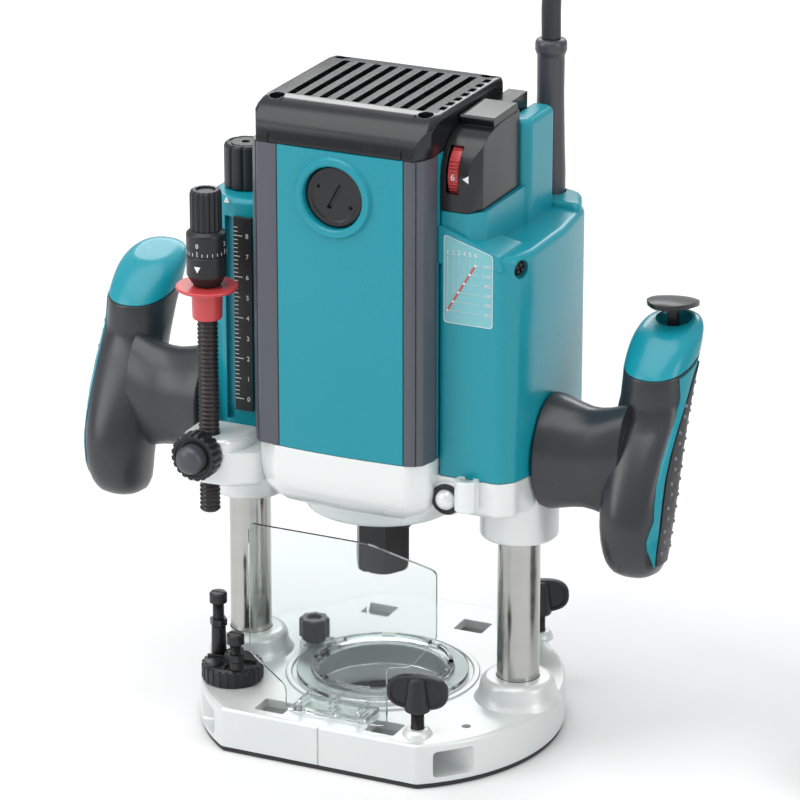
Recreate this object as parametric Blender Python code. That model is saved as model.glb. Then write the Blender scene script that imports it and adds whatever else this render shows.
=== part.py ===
"""Plunge router: a two-handled motor unit that slides on two posts above a round base.

Lengths are in millimetres and turn into metres when a mesh is made. Every part hangs on the
empty "router", which stands on the spindle's axis at the underside of the base: -Y is the
front, +X the switch side and +Z up.
"""
import math

import bmesh
import bpy
from mathutils import Matrix, Vector

MM = 0.001
GAP = 0.3

# Base: a round casting with a flat front edge, on a thin black sole plate.
BASE_RADIUS = 87.0
BASE_FRONT = -71.0
BASE_REAR = 93.0
SOLE_THICK = 2.0
BASE_TOP = 22.0
BASE_BORE = 34.0
SOLE_BORE = 31.0
FOOT_RADIUS = 18.0
FOOT_TOP = 33.5
ROD_FRONT_Y = (-66.0, -51.0)
ROD_REAR_Y = (60.0, 75.0)
ROD_Z = (5.0, 18.0)

# Posts and what slides on them.
POST_X = 70.0
POST_RADIUS = 10.0
POST_BORE = 7.4
POST_BOTTOM = 8.0
POST_TOP = 164.0
SLEEVE_RADIUS = 18.5
SLEEVE_BOTTOM = 105.0
TUBE_RADIUS = 12.0
TUBE_TOP = 240.0
BUSH_RADIUS = 12.3

# Depth stop: a turret with three steps under a screwed pole.
TURRET = (-61.5, -37.0)
TURRET_RADIUS = 14.8
TURRET_TOP = 31.0
STOP_CIRCLE = 10.2
STOP_ANGLE_TALL = 156.0
STOP_ANGLE_LOW = 231.0
STOP_ANGLE_SHORT = 306.0
POLE_RADIUS = 4.85
POLE_BOTTOM = 109.5
POLE_TOP = 220.5

# Motor unit.
HOUSING_BOTTOM = 150.0
SIDE_BOTTOM = 142.0
HOUSING_TOP = 294.7
HOUSING_FRONT = -50.5
HOUSING_REAR = 48.0
HOUSING_SIDE = 44.0
HOUSING_BORE = 36.0
CAP_TOP = 312.0
COVER_TOP = 247.0
FLANGE_RADIUS = 37.0
ARM_Z = (125.0, 148.0)
BRUSH_Z = 273.4

# Handles.
GRIP_X = 131.0
GRIP_WIDE = 16.0
GRIP_DEEP = 21.5
NECK_Z = 148.0

# Cord.
CORD_DIAMETER = 9.0
GUARD = (57.5, 60.0)
GUARD_RADIUS = 7.4
GUARD_TOP = 326.0

SPINDLE_Y = -(BASE_FRONT + BASE_REAR) / 2


def clear_scene():
    for old in list(bpy.data.objects):
        bpy.data.objects.remove(old)


clear_scene()

router = bpy.data.objects.new("router", None)
router.location = (0.0, SPINDLE_Y * MM, 0.0)
bpy.context.collection.objects.link(router)

# ---------------------------------------------------------------- materials

FINISHES = {
    "teal_plastic": ((0.0, 0.33, 0.40), 0.32, 0.0),
    "black_plastic": ((0.018, 0.019, 0.021), 0.40, 0.0),
    "grey_elastomer": ((0.045, 0.047, 0.052), 0.55, 0.0),
    "cast_aluminium": ((0.72, 0.74, 0.73), 0.42, 0.6),
    "steel": ((0.62, 0.62, 0.60), 0.25, 1.0),
    "black_steel": ((0.03, 0.03, 0.03), 0.35, 0.8),
    "clear_plastic": ((0.85, 0.90, 0.88), 0.05, 0.0),
    "red_plastic": ((0.75, 0.06, 0.08), 0.4, 0.0),
    "copper": ((0.72, 0.38, 0.22), 0.35, 1.0),
    "lamination": ((0.30, 0.30, 0.31), 0.5, 0.9),
    "carbon": ((0.02, 0.02, 0.02), 0.6, 0.1),
    "bronze": ((0.55, 0.38, 0.18), 0.4, 1.0),
    "cord_rubber": ((0.02, 0.02, 0.022), 0.5, 0.0),
}
materials = {}
for finish, (colour, rough, metal) in FINISHES.items():
    made = bpy.data.materials.new(finish)
    made.use_nodes = True
    shader = made.node_tree.nodes["Principled BSDF"]
    shader.inputs["Base Color"].default_value = (*colour, 1.0)
    shader.inputs["Roughness"].default_value = rough
    shader.inputs["Metallic"].default_value = metal
    materials[finish] = made

# ---------------------------------------------------------------- shapes


def prism(outline, low, high, round_top=0.0, round_low=0.0, taper=1.0):
    """A solid on a flat outline; taper shrinks the low end towards the origin."""
    shape = bmesh.new()
    face = shape.faces.new([shape.verts.new((x * taper, y * taper, low)) for x, y in outline])
    grown = bmesh.ops.extrude_face_region(shape, geom=[face])["geom"]
    for vert in grown:
        if isinstance(vert, bmesh.types.BMVert):
            vert.co = Vector((vert.co.x / taper, vert.co.y / taper, high))
    bmesh.ops.recalc_face_normals(shape, faces=shape.faces)
    for width, level in ((round_top, high), (round_low, low)):
        if width:
            rim = [e for e in shape.edges if all(abs(v.co.z - level) < 1e-4 for v in e.verts)]
            bmesh.ops.bevel(shape, geom=rim, offset=width, segments=1, affect="EDGES")
    return shape


def box(x, y, z):
    """A block between two corners, given as ranges."""
    return prism([(x[0], y[0]), (x[1], y[0]), (x[1], y[1]), (x[0], y[1])], z[0], z[1])


def ring_of(radius, steps, start=0.0, sweep=360.0):
    count = steps if sweep == 360.0 else steps + 1
    turns = (math.radians(start + sweep * i / steps) for i in range(count))
    return [(radius * math.cos(t), radius * math.sin(t)) for t in turns]


def disc(radius, low, high, steps=24, round_top=0.0, round_low=0.0):
    return prism(ring_of(radius, steps, 180.0 / steps), low, high, round_top, round_low)


def turned(profile, steps=24):
    """A body of revolution about Z. An open profile starts and ends on the axis."""
    shape = bmesh.new()
    verts = [shape.verts.new((r, 0.0, z)) for r, z in profile]
    edges = [shape.edges.new(pair) for pair in zip(verts, verts[1:])]
    if profile[0][0] > 0.0:
        edges.append(shape.edges.new((verts[-1], verts[0])))
    bmesh.ops.spin(shape, geom=verts + edges, cent=(0, 0, 0), axis=(0, 0, 1),
                   angle=math.tau, steps=steps, use_merge=True)
    bmesh.ops.remove_doubles(shape, verts=shape.verts, dist=1e-3)
    bmesh.ops.recalc_face_normals(shape, faces=shape.faces)
    return shape


def tube(outer, inner, low, high, steps=20):
    return turned([(outer, high), (outer, low), (inner, low), (inner, high)], steps)


def lofted(rings):
    """A skin over rings with the same number of points, closed at both ends."""
    shape = bmesh.new()
    loops = [[shape.verts.new(point) for point in ring] for ring in rings]
    for below, above in zip(loops, loops[1:]):
        for i in range(len(below)):
            j = (i + 1) % len(below)
            shape.faces.new((below[i], below[j], above[j], above[i]))
    shape.faces.new(list(reversed(loops[0])))
    shape.faces.new(loops[-1])
    bmesh.ops.recalc_face_normals(shape, faces=shape.faces)
    return shape


def fluted(radius, depth, flutes, low, high, round_top=0.0):
    """A knob's skirt with rounded flutes, four points to each."""
    points = []
    for i in range(flutes * 4):
        angle = math.tau * i / (flutes * 4)
        reach = radius - depth * (0.5 - 0.5 * math.cos(flutes * angle))
        points.append((reach * math.cos(angle), reach * math.sin(angle)))
    return prism(points, low, high, round_top)


def along_x(shape):
    shape.transform(Matrix.Rotation(math.pi / 2, 4, "Y"))
    return shape


def along_y(shape):
    shape.transform(Matrix.Rotation(-math.pi / 2, 4, "X"))
    return shape


def shifted(shape, x=0.0, y=0.0, z=0.0):
    shape.transform(Matrix.Translation((x, y, z)))
    return shape


# ---------------------------------------------------------------- parts


def put(name, shape, at, finish):
    """Makes an object of a shape whose own origin is at the point `at`."""
    shape.transform(Matrix.Scale(MM, 4))
    mesh = bpy.data.meshes.new(name)
    shape.to_mesh(mesh)
    shape.free()
    mesh.materials.append(materials[finish])
    mesh.shade_smooth()
    mesh.set_sharp_from_angle(angle=math.radians(32))
    made = bpy.data.objects.new(name, mesh)
    made.parent = router
    made.location = Vector(at) * MM
    bpy.context.collection.objects.link(made)
    return made


def shaped(part, operation, shapes, at=(0, 0, 0)):
    """Adds or cuts shapes, given in the router's frame unless `at` says otherwise."""
    for number, shape in enumerate(shapes):
        tool = put(f"{part.name}_{operation.lower()}_{number}", shape, at, "steel")
        tool.hide_render = True
        tool.display_type = "WIRE"
        boolean = part.modifiers.new(tool.name, "BOOLEAN")
        boolean.operation = operation
        boolean.object = tool
        boolean.solver = "EXACT"


def add(part, *shapes, at=(0, 0, 0)):
    shaped(part, "UNION", shapes, at)


def cut(part, *shapes, at=(0, 0, 0)):
    shaped(part, "DIFFERENCE", shapes, at)


# ---------------------------------------------------------------- base

def base_outline(inset):
    """Right half by an arc and a rear lobe, then mirrored across X = 0."""
    radius = BASE_RADIUS - inset
    front = BASE_FRONT + inset
    start = math.degrees(math.asin(front / radius))
    right = ring_of(radius, 12, start, 42.0 - start)
    right += [(57.0 - inset, 66.0), (50.0 - inset, 83.0 - inset), (36.0, BASE_REAR - inset)]
    return right + [(-x, y) for x, y in reversed(right)]


sole = put("base_plate", prism(base_outline(0.6), 0.0, SOLE_THICK), (0, 0, 0), "black_plastic")
cut(sole, disc(SOLE_BORE, -2.0, 6.0, 32))

casting = put("base_casting", prism(base_outline(0.0), SOLE_THICK + GAP, BASE_TOP, 1.6),
              (0, 0, 0), "cast_aluminium")
WING_FRONT = (45.0, -58.0)
WING_REAR = (50.0, 71.0)
WING_SEAT_TOP = 25.0
for side in (-1, 1):
    foot = turned([(0, FOOT_TOP), (FOOT_RADIUS - 2, FOOT_TOP), (FOOT_RADIUS, FOOT_TOP - 2),
                   (FOOT_RADIUS + 1, BASE_TOP - 3), (0, BASE_TOP - 3)])
    add(casting, shifted(foot, side * POST_X))
for x, y in (WING_FRONT, WING_REAR):
    add(casting, shifted(disc(6.0, BASE_TOP - 3, WING_SEAT_TOP, 20), x, y))
cut(casting, disc(BASE_BORE, -2.0, BASE_TOP + 4, 32))
for side in (-1, 1):
    cut(casting, shifted(disc(POST_RADIUS + GAP, POST_BOTTOM - GAP, FOOT_TOP + 4), side * POST_X))
for y in (ROD_FRONT_Y, ROD_REAR_Y):
    cut(casting, box((-100, 100), y, ROD_Z))
WINDOWS = (((-36, -21), ROD_FRONT_Y), ((21, 36), ROD_FRONT_Y),
           ((-41, -26), ROD_REAR_Y), ((9, 24), ROD_REAR_Y))
for x, y in WINDOWS:
    cut(casting, box(x, (y[0] + 0.8, y[1] - 0.8), (ROD_Z[1] - 3, BASE_TOP + 4)))
for x, y in (WING_FRONT, WING_REAR):
    cut(casting, shifted(disc(3.3, ROD_Z[1] - 4, WING_SEAT_TOP + 4, 16), x, y))
cut(casting, box((-0.6, 0.6), (-76, BASE_FRONT + 0.8), (-1, BASE_TOP + 2)))
cut(casting, shifted(disc(2.2, 12.0, BASE_TOP + 4, 12), 62.0, -41.0))

for side, name in ((-1, "left_post"), (1, "right_post")):
    post = turned([(0, POST_BOTTOM), (POST_RADIUS, POST_BOTTOM), (POST_RADIUS, POST_TOP - 1),
                   (POST_RADIUS - 1, POST_TOP), (POST_BORE, POST_TOP), (POST_BORE, 40.0),
                   (0, 40.0)])
    put(name, post, (side * POST_X, 0, 0), "steel")


def wing_bolt(name, at, turn):
    """A cone and a flat oval wing on a screw; the origin is on the screw's axis."""
    x, y = at
    stem = turned([(0, 48.0), (4.2, 48.0), (6.2, 34.0), (3.0, 33.0), (3.0, ROD_Z[1] + 1.0),
                   (0, ROD_Z[1] + 1.0)], 20)
    bolt = put(name, stem, (x, y, 0), "black_steel")
    oval = [(14.5 * math.copysign(abs(c) ** 0.7, c), 8.5 * math.copysign(abs(s) ** 0.7, s))
            for c, s in ring_of(1.0, 24)]
    wing = prism(oval, -2.2, 2.2, 1.0, 1.0)
    wing.transform(Matrix.Rotation(math.pi / 2, 4, "X"))
    shifted(wing, 0, 0, 43.0)
    wing.transform(Matrix.Rotation(math.radians(turn), 4, "Z"))
    add(bolt, wing, at=(x, y, 0))


wing_bolt("front_wing_bolt", WING_FRONT, 12.0)
wing_bolt("rear_wing_bolt", WING_REAR, 30.0)


# Turret: a black disc with its pivot pin, a tall and a short stop bolt and a low step.
def stop_place(angle):
    turn = math.radians(angle)
    return STOP_CIRCLE * math.cos(turn), STOP_CIRCLE * math.sin(turn)


turret = put("stop_turret", turned([(0, 36.0), (3.6, 36.0), (4.2, TURRET_TOP), (13.0, TURRET_TOP),
                                    (TURRET_RADIUS, 28.5), (TURRET_RADIUS, BASE_TOP + GAP),
                                    (2.5, BASE_TOP + GAP), (2.5, 12.5), (0, 12.5)]),
             (*TURRET, 0), "black_plastic")
cut(casting, shifted(disc(2.8, 12.0, BASE_TOP + 4, 16), *TURRET))
for name, angle, nut_top, head in (("tall_stop_bolt", STOP_ANGLE_TALL, 49.5, 62.8),
                                   ("short_stop_bolt", STOP_ANGLE_SHORT, 38.8, 49.0)):
    dx, dy = stop_place(angle)
    bolt = turned([(0, head), (3.4, head), (4.2, head - 1), (4.2, head - 5), (2.6, head - 5),
                   (2.6, nut_top), (4.3, nut_top), (4.3, TURRET_TOP + GAP), (2.2, TURRET_TOP + GAP),
                   (2.2, 25.0), (0, 25.0)], 16)
    put(name, bolt, (TURRET[0] + dx, TURRET[1] + dy, 0), "black_steel")
    cut(turret, shifted(disc(2.5, 24.0, TURRET_TOP + 4, 16), TURRET[0] + dx, TURRET[1] + dy))

# Clear shield that stands on the front of the base, with a wing bent back on the right.
SHIELD_Y = -60.0
SHIELD_THICK = 1.6
SHIELD_TOP = 113.0
WING_END = (52.0, -52.5)
shield_plan = [(-41.0, SHIELD_Y), (21.0, SHIELD_Y), WING_END,
               (WING_END[0] - 0.4, WING_END[1] + SHIELD_THICK), (20.8, SHIELD_Y + SHIELD_THICK),
               (-41.0, SHIELD_Y + SHIELD_THICK)]
shield = put("chip_deflector", prism(shield_plan, BASE_TOP + GAP, SHIELD_TOP), (0, 0, 0),
             "clear_plastic")
SHIELD_TRIMS = ([(-50, 10), (-22, 10), (-22, 34), (-41, 48), (-50, 48)],
                [(29, 10), (60, 10), (60, 68), (52, 68), (40, 53), (29, 52)],
                [(21, 118), (21, 113), (52, 101.4), (60, 101.4), (60, 118)])
for trim in SHIELD_TRIMS:
    cutter = along_y(prism([(x, -z) for x, z in trim], -70.0, -30.0))
    cut(shield, cutter)
add(shield, box((-19, 19), (SHIELD_Y + 0.4, -44.0), (BASE_TOP + GAP, BASE_TOP + 3.6)))

# Dust nozzle: a clear ring in the base's opening with a flat spout to the rear right.
nozzle = put("dust_nozzle", turned([(41.0, 24.6), (41.0, BASE_TOP + GAP), (33.4, BASE_TOP + GAP),
                                    (33.4, 12.0), (31.2, 12.0), (29.5, 24.6), (31.5, 28.0),
                                    (33.5, 28.0), (33.5, 24.6)], 28),
             (0, 0, 0), "clear_plastic")
SCREW_PLACE = (-43.0, 14.0)
add(nozzle, shifted(disc(8.5, BASE_TOP + GAP, 24.6, 20), *SCREW_PLACE))
cut(nozzle, shifted(disc(2.5, BASE_TOP - 1, 32.0, 12), *SCREW_PLACE))
cut(casting, shifted(disc(2.5, 12.0, BASE_TOP + 4, 12), *SCREW_PLACE))
knob = fluted(7.4, 0.8, 6, 25.2, 37.0, 1.0)
thumb = put("nozzle_thumb_screw", knob, (*SCREW_PLACE, 0), "black_plastic")
add(thumb, disc(2.2, 12.5, 27.0, 12), at=(*SCREW_PLACE, 0))

# ---------------------------------------------------------------- motor unit castings


def body_outline(grow=0.0):
    """The barrel's footprint, without the corner strips at the front."""
    side = HOUSING_SIDE + grow
    front = HOUSING_FRONT - grow
    rear = HOUSING_REAR + grow
    return [(-36.0, front), (40.0, front), (side, -41.0), (side, 36.0), (33.0, rear),
            (-33.0, rear), (-side, 36.0), (-side, -41.0)]


RIGHT_COVER = [(44.3, -35.0), (74.0, -35.0), (80.5, -29.0), (83.5, -16.0), (83.5, 20.0),
               (79.0, 52.0), (71.0, 65.0), (62.0, 69.0), (44.3, 69.0)]
LEFT_COVER = [(-44.3, 20.0), (-72.0, 20.0), (-80.0, 14.0), (-84.0, 5.0), (-84.0, -5.0),
              (-80.0, -14.0), (-73.0, -19.0), (-66.0, -20.0), (-56.0, -20.0), (-44.3, -14.0)]
POLE = (TURRET[0] + stop_place(STOP_ANGLE_LOW)[0], TURRET[1] + stop_place(STOP_ANGLE_LOW)[1])

bracket = put("bracket_casting", prism(body_outline(), 131.0, HOUSING_BOTTOM - GAP), (0, 0, 0),
              "cast_aluminium")
add(bracket, lofted([[(x * s, y * s, z) for x, y in body_outline()]
                     for s, z in ((0.80, 120.0), (0.94, 124.0), (1.0, 132.0))]))
add(bracket, prism(RIGHT_COVER[:5] + [(80.0, 44.0), (60.0, 48.0), (40.0, 44.0), (40.0, -35.0)],
                   124.0, SIDE_BOTTOM - GAP, 0, 3.0))
add(bracket, prism([(-40.0, 20.0)] + LEFT_COVER[1:9] + [(-40.0, -20.0)],
                   122.0, SIDE_BOTTOM - GAP, 0, 3.0))
ARM = [(-42.0, -16.0), (-80.0, -16.0), (-80.0, -48.0), (-76.0, -53.0), (-56.0, -53.0),
       (-42.0, -44.0)]
add(bracket, prism(ARM, ARM_Z[0], SIDE_BOTTOM - GAP, 0, 2.0))
add(bracket, prism([(-80.0, -27.0), (-80.0, -48.0), (-76.0, -53.0), (-56.0, -53.0), (-50.0, -40.0),
                    (-50.0, -27.0)], 136.0, ARM_Z[1], 1.5))
add(bracket, disc(30.0, 118.5, 126.0, 28))
for side in (-1, 1):
    add(bracket, shifted(disc(SLEEVE_RADIUS, SLEEVE_BOTTOM, 139.0, 24, 0, 2.0), side * POST_X))
    add(bracket, shifted(disc(TUBE_RADIUS, 137.0, TUBE_TOP, 20), side * POST_X))
for side in (-1, 1):
    cut(bracket, shifted(turned([(0, TUBE_TOP - 3.0), (POST_RADIUS + GAP, TUBE_TOP - 3.0),
                                 (POST_RADIUS + GAP, 135.0), (BUSH_RADIUS + GAP, 135.0),
                                 (BUSH_RADIUS + GAP, SLEEVE_BOTTOM - 4), (0, SLEEVE_BOTTOM - 4)],
                                20), side * POST_X))
cut(bracket, turned([(0, 160.0), (27.0, 160.0), (27.0, 138.0), (20.3, 138.0), (20.3, 121.0),
                     (14.0, 121.0), (14.0, 100.0), (0, 100.0)]))
cut(bracket, shifted(disc(POLE_RADIUS + GAP, 100.0, 160.0, 20), *POLE))
cut(bracket, shifted(disc(15.0, 100.0, 134.5, 24), *TURRET))

for side, name in ((-1, "left_bush"), (1, "right_bush")):
    bush = tube(BUSH_RADIUS, POST_RADIUS + 0.1, SLEEVE_BOTTOM + 1.0, 134.5, 24)
    put(name, bush, (side * POST_X, 0, 0), "bronze")

flange = put("bearing_flange", turned([(FLANGE_RADIUS, 118.2), (FLANGE_RADIUS, 111.5),
                                       (FLANGE_RADIUS - 2.0, 109.5), (14.5, 109.5), (14.5, 118.2)],
                                      28), (0, 0, 0), "cast_aluminium")
for number in range(4):
    spot = ring_of(32.0, 4, 45.0)[number]
    cut(flange, shifted(disc(2.6, 107.0, 112.0, 12), *spot))

# ---------------------------------------------------------------- housing and covers

housing = put("motor_housing", prism(body_outline(), HOUSING_BOTTOM, HOUSING_TOP), (0, 0, 0),
              "teal_plastic")
cut(housing, turned([(0, 300.0), (11.4, 300.0), (11.4, 284.3), (HOUSING_BORE, 284.3),
                     (HOUSING_BORE, 140.0), (0, 140.0)], 28))
STRIP_INNER = 2.8
for side, edge in ((-1, -28.8), (1, 34.2)):
    corner = [(edge - side * GAP, -60.0), (edge - side * GAP, HOUSING_FRONT + STRIP_INNER + GAP),
              (side * 37.0, HOUSING_FRONT + STRIP_INNER + GAP), (side * 41.2, -38.0),
              (side * 41.2, -34.7), (side * 60.0, -34.7), (side * 60.0, -60.0)]
    if side > 0:
        corner.reverse()
    cut(housing, prism(corner, 140.0, 300.0))
    strip = [(edge, HOUSING_FRONT), (side * 39.0, HOUSING_FRONT), (side * 42.5, -47.5),
             (side * HOUSING_SIDE, -41.0), (side * HOUSING_SIDE, -35.3), (side * 41.5, -35.3),
             (side * 41.5, -38.0), (side * 37.2, HOUSING_FRONT + STRIP_INNER),
             (edge, HOUSING_FRONT + STRIP_INNER)]
    name = "left_corner_strip" if side < 0 else "right_corner_strip"
    put(name, prism(strip, HOUSING_BOTTOM, HOUSING_TOP), (0, 0, 0), "grey_elastomer")

# Brushes: a slotted cap in a round seat, front and rear, and a carbon block behind each.
CAP_RADIUS = 14.5
for side, name in ((-1, "front_brush"), (1, "rear_brush")):
    face = HOUSING_FRONT if side < 0 else HOUSING_REAR
    seat = along_y(disc(CAP_RADIUS + GAP, -4.0, 4.0, 32))
    cut(housing, shifted(seat, 0, face, BRUSH_Z))
    hole = box((-4.0, 4.0), sorted((side * 20.0, face)), (BRUSH_Z - 7, BRUSH_Z + 7))
    cut(housing, hole)
    cap = along_y(disc(CAP_RADIUS, -3.6, -0.2, 32, 0.6))
    if side < 0:
        cap.transform(Matrix.Rotation(math.pi, 4, "Z"))
    brush_cap = put(name + "_cap", cap, (0, face, BRUSH_Z), "black_plastic")
    slot = box((-5.5, 5.5), sorted((side * -1.6, side * 3.0)), (-0.9, 0.9))
    slot.transform(Matrix.Rotation(math.radians(62), 4, "Y"))
    cut(brush_cap, slot, at=(0, face, BRUSH_Z))
    carbon = box((-3.4, 3.4), sorted((side * 13.4, side * 34.0)), (BRUSH_Z - 6, BRUSH_Z + 6))
    put("carbon_" + name, carbon, (0, 0, 0), "carbon")

right_cover = put("right_side_cover", prism(RIGHT_COVER, SIDE_BOTTOM, COVER_TOP, 2.5), (0, 0, 0),
                  "teal_plastic")
DIAL_STEP = [(44.3, -33.0), (58.0, -33.0), (64.0, -26.0), (64.0, 30.0), (44.3, 30.0)]
add(right_cover, prism(DIAL_STEP, COVER_TOP - 6, 268.0))
PILLAR = [(54.0, 18.0), (62.0, 16.0), (66.0, 19.0), (66.0, 44.0), (63.0, 47.0), (54.0, 47.0)]
add(right_cover, prism(PILLAR, COVER_TOP - 6, 299.0, 2.5))
WALL = 3.0
CAVITY = [(40.0, -31.0), (72.6, -31.0), (77.4, -26.6), (80.2, -15.4), (80.2, 20.0), (76.4, 44.0),
          (40.0, 44.0)]
cut(right_cover, prism(CAVITY, SIDE_BOTTOM + WALL, COVER_TOP - WALL))
cut(right_cover, box((40.0, 68.0), (40.0, 65.0), (SIDE_BOTTOM + WALL, COVER_TOP - WALL)))
cut(right_cover, shifted(disc(TUBE_RADIUS + GAP, SIDE_BOTTOM - 4, COVER_TOP - WALL - 0.5), POST_X))
cut(right_cover, shifted(disc(5.8, 235.0, 260.0, 20), *GUARD))
cut(right_cover, box((40.0, 58.0), (-20.0, 12.0), (COVER_TOP - 8, 280.0)))

left_cover = put("left_side_cover", prism(LEFT_COVER, SIDE_BOTTOM, 255.0, 2.0), (0, 0, 0),
                 "teal_plastic")
cut(left_cover, box((-60.0, -40.0), (-11.0, 16.0), (SIDE_BOTTOM + WALL, 250.0)))
cut(left_cover, shifted(disc(TUBE_RADIUS + GAP, SIDE_BOTTOM - 4, TUBE_TOP + 4), -POST_X))

put("depth_scale", box((-66.0, -56.5), (-22.0, -20.3), (152.0, 247.0)), (0, 0, 0),
    "black_plastic")

upper_knob = put("height_stop_knob", fluted(10.4, 0.9, 10, 255.3, 276.5, 1.6),
                 (-POST_X, 0, 0), "black_plastic")
add(upper_knob, disc(3.0, 244.0, 260.0, 16), at=(-POST_X, 0, 0))
cut(left_cover, shifted(disc(3.4, 240.0, 262.0, 16), -POST_X))

# Top cap: a shell rounded down at the front, with slots through its roof.
cap_side = [(HOUSING_FRONT, HOUSING_TOP + GAP), (HOUSING_FRONT, 297.0), (-48.0, 303.0),
            (-43.0, 308.5), (-36.0, CAP_TOP), (38.0, CAP_TOP), (44.0, 309.0),
            (HOUSING_REAR, 304.0), (HOUSING_REAR, HOUSING_TOP + GAP)]
roof = bmesh.new()
roof_face = roof.faces.new([roof.verts.new((-HOUSING_SIDE, y, z)) for y, z in cap_side])
roof_grown = bmesh.ops.extrude_face_region(roof, geom=[roof_face])["geom"]
bmesh.ops.translate(roof, vec=(2 * HOUSING_SIDE, 0, 0),
                    verts=[v for v in roof_grown if isinstance(v, bmesh.types.BMVert)])
bmesh.ops.recalc_face_normals(roof, faces=roof.faces)
top_cap = put("top_cap", roof, (0, 0, 0), "black_plastic")
for side in (-1, 1):
    for front, rear in ((-70.0, -41.0), (36.0, 70.0)):
        near = rear if front < 0 else front
        far = HOUSING_FRONT if front < 0 else HOUSING_REAR
        corner = [(side * HOUSING_SIDE, near), (side * (60.0), near), (side * 60.0, far + near),
                  (side * (39.0 if front < 0 else 33.0), far + near),
                  (side * (39.0 if front < 0 else 33.0), far)]
        if side * (1 if front < 0 else -1) > 0:
            corner.reverse()
        cut(top_cap, prism(corner, 290.0, 320.0))
cut(top_cap, disc(37.0, 290.0, 306.0, 28))
SLOTS = 9
for row in range(SLOTS):
    x = -32.0 + 8.0 * row
    cut(top_cap, box((x - 1.9, x + 1.9), (-30.0, 31.0), (300.0, 320.0)))

# Speed dial: a wheel on a pin across the black cover at the front of the switch side.
DIAL = (49.8, -17.5, 284.0)
DIAL_RADIUS = 14.6
dial_side = [(-33.0, 268.4), (-33.0, 286.0), (-29.0, 295.0), (-20.0, 302.0), (-6.0, 305.5),
             (42.0, 306.0), (42.0, 268.4)]
hood = bmesh.new()
hood_face = hood.faces.new([hood.verts.new((44.3, y, z)) for y, z in dial_side])
hood_grown = bmesh.ops.extrude_face_region(hood, geom=[hood_face])["geom"]
bmesh.ops.translate(hood, vec=(17.7, 0, 0),
                    verts=[v for v in hood_grown if isinstance(v, bmesh.types.BMVert)])
bmesh.ops.recalc_face_normals(hood, faces=hood.faces)
dial_hood = put("dial_hood", hood, (0, 0, 0), "black_plastic")
cut(dial_hood, box((53.6, 70.0), (14.0, 60.0), (260.0, 320.0)))
cut(dial_hood, shifted(along_x(disc(DIAL_RADIUS + 0.9, -3.2, 3.2, 32)), *DIAL))
cut(dial_hood, box((DIAL[0] - 3.2, DIAL[0] + 3.2), (-40.0, -26.0), (274.0, 294.0)))
cut(dial_hood, shifted(along_x(disc(2.3, -4.6, 8.0, 12)), *DIAL))
wheel = put("speed_dial", along_x(disc(DIAL_RADIUS, -2.6, 2.6, 32, 0.4, 0.4)), DIAL, "red_plastic")
add(wheel, along_x(disc(2.0, -4.2, 7.5, 12)), at=DIAL)

# ---------------------------------------------------------------- depth stop on the motor unit

pole = put("stopper_pole", turned([(0, POLE_TOP), (POLE_RADIUS, POLE_TOP), (POLE_RADIUS, POLE_BOTTOM + 1),
                                   (POLE_RADIUS - 1, POLE_BOTTOM), (0, POLE_BOTTOM)], 20),
           (*POLE, 0), "black_steel")
KNOB_BOTTOM = POLE_TOP + GAP
pole_knob = turned([(0, 266.5), (6.2, 266.5), (7.4, 265.0), (7.4, 247.5), (9.3, 246.0),
                    (9.3, 236.2), (8.8, 235.7), (9.3, 235.2), (9.3, KNOB_BOTTOM + 5.0),
                    (6.0, KNOB_BOTTOM), (0, KNOB_BOTTOM)])
put("depth_adjusting_knob", pole_knob, (*POLE, 0), "black_plastic")
pointer = turned([(14.4, POLE_TOP), (14.4, POLE_TOP - 1.6), (7.3, POLE_TOP - 3.2),
                  (6.9, POLE_TOP - 16.0), (POLE_RADIUS + GAP, POLE_TOP - 16.0),
                  (POLE_RADIUS + GAP, POLE_TOP)])
put("depth_pointer", pointer, (*POLE, 0), "red_plastic")

NUT_Z = 141.0
nut = along_y(fluted(11.5, 0.7, 14, -62.0, -53.4))
setting_nut = put("pole_setting_nut", nut, (POLE[0], 0, NUT_Z), "black_plastic")
cut(setting_nut, along_y(disc(7.3, -70.0, -55.2, 24)), at=(POLE[0], 0, NUT_Z))
button = along_y(turned([(0, -57.9), (6.9, -57.9), (6.9, -66.0), (5.6, -68.0), (0, -69.0)], 24))
put("fast_feed_button", button, (POLE[0], 0, NUT_Z), "black_plastic")

LOCK = (49.5, -35.0, 131.5)
cut(bracket, shifted(along_y(disc(5.2, -6.0, 10.0, 20)), *LOCK))
lock_button = along_y(turned([(0, -6.0), (3.5, -5.6), (4.9, -3.6), (4.9, 6.0), (0, 6.0)], 20))
put("shaft_lock_button", lock_button, LOCK, "cast_aluminium")

LEVER_PIVOT = (-68.0, 22.0, 130.0)
lever = put("plunge_lock_lever", along_y(disc(8.0, 0.0, 9.0, 24, 0.8)), LEVER_PIVOT,
            "black_plastic")
blade = lofted([[(x, y, z) for y, z in ((1.0, -w), (8.0, -w), (8.0, w), (1.0, w))]
                for x, w in ((0.0, 6.5), (-24.0, 4.5), (-42.0, 5.5), (-45.0, 3.5))])
blade.transform(Matrix.Rotation(math.radians(-28), 4, "Y"))
add(lever, blade, at=LEVER_PIVOT)
add(lever, along_y(disc(4.0, -1.7, 1.0, 16)), at=LEVER_PIVOT)

# ---------------------------------------------------------------- spindle and motor parts

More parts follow.
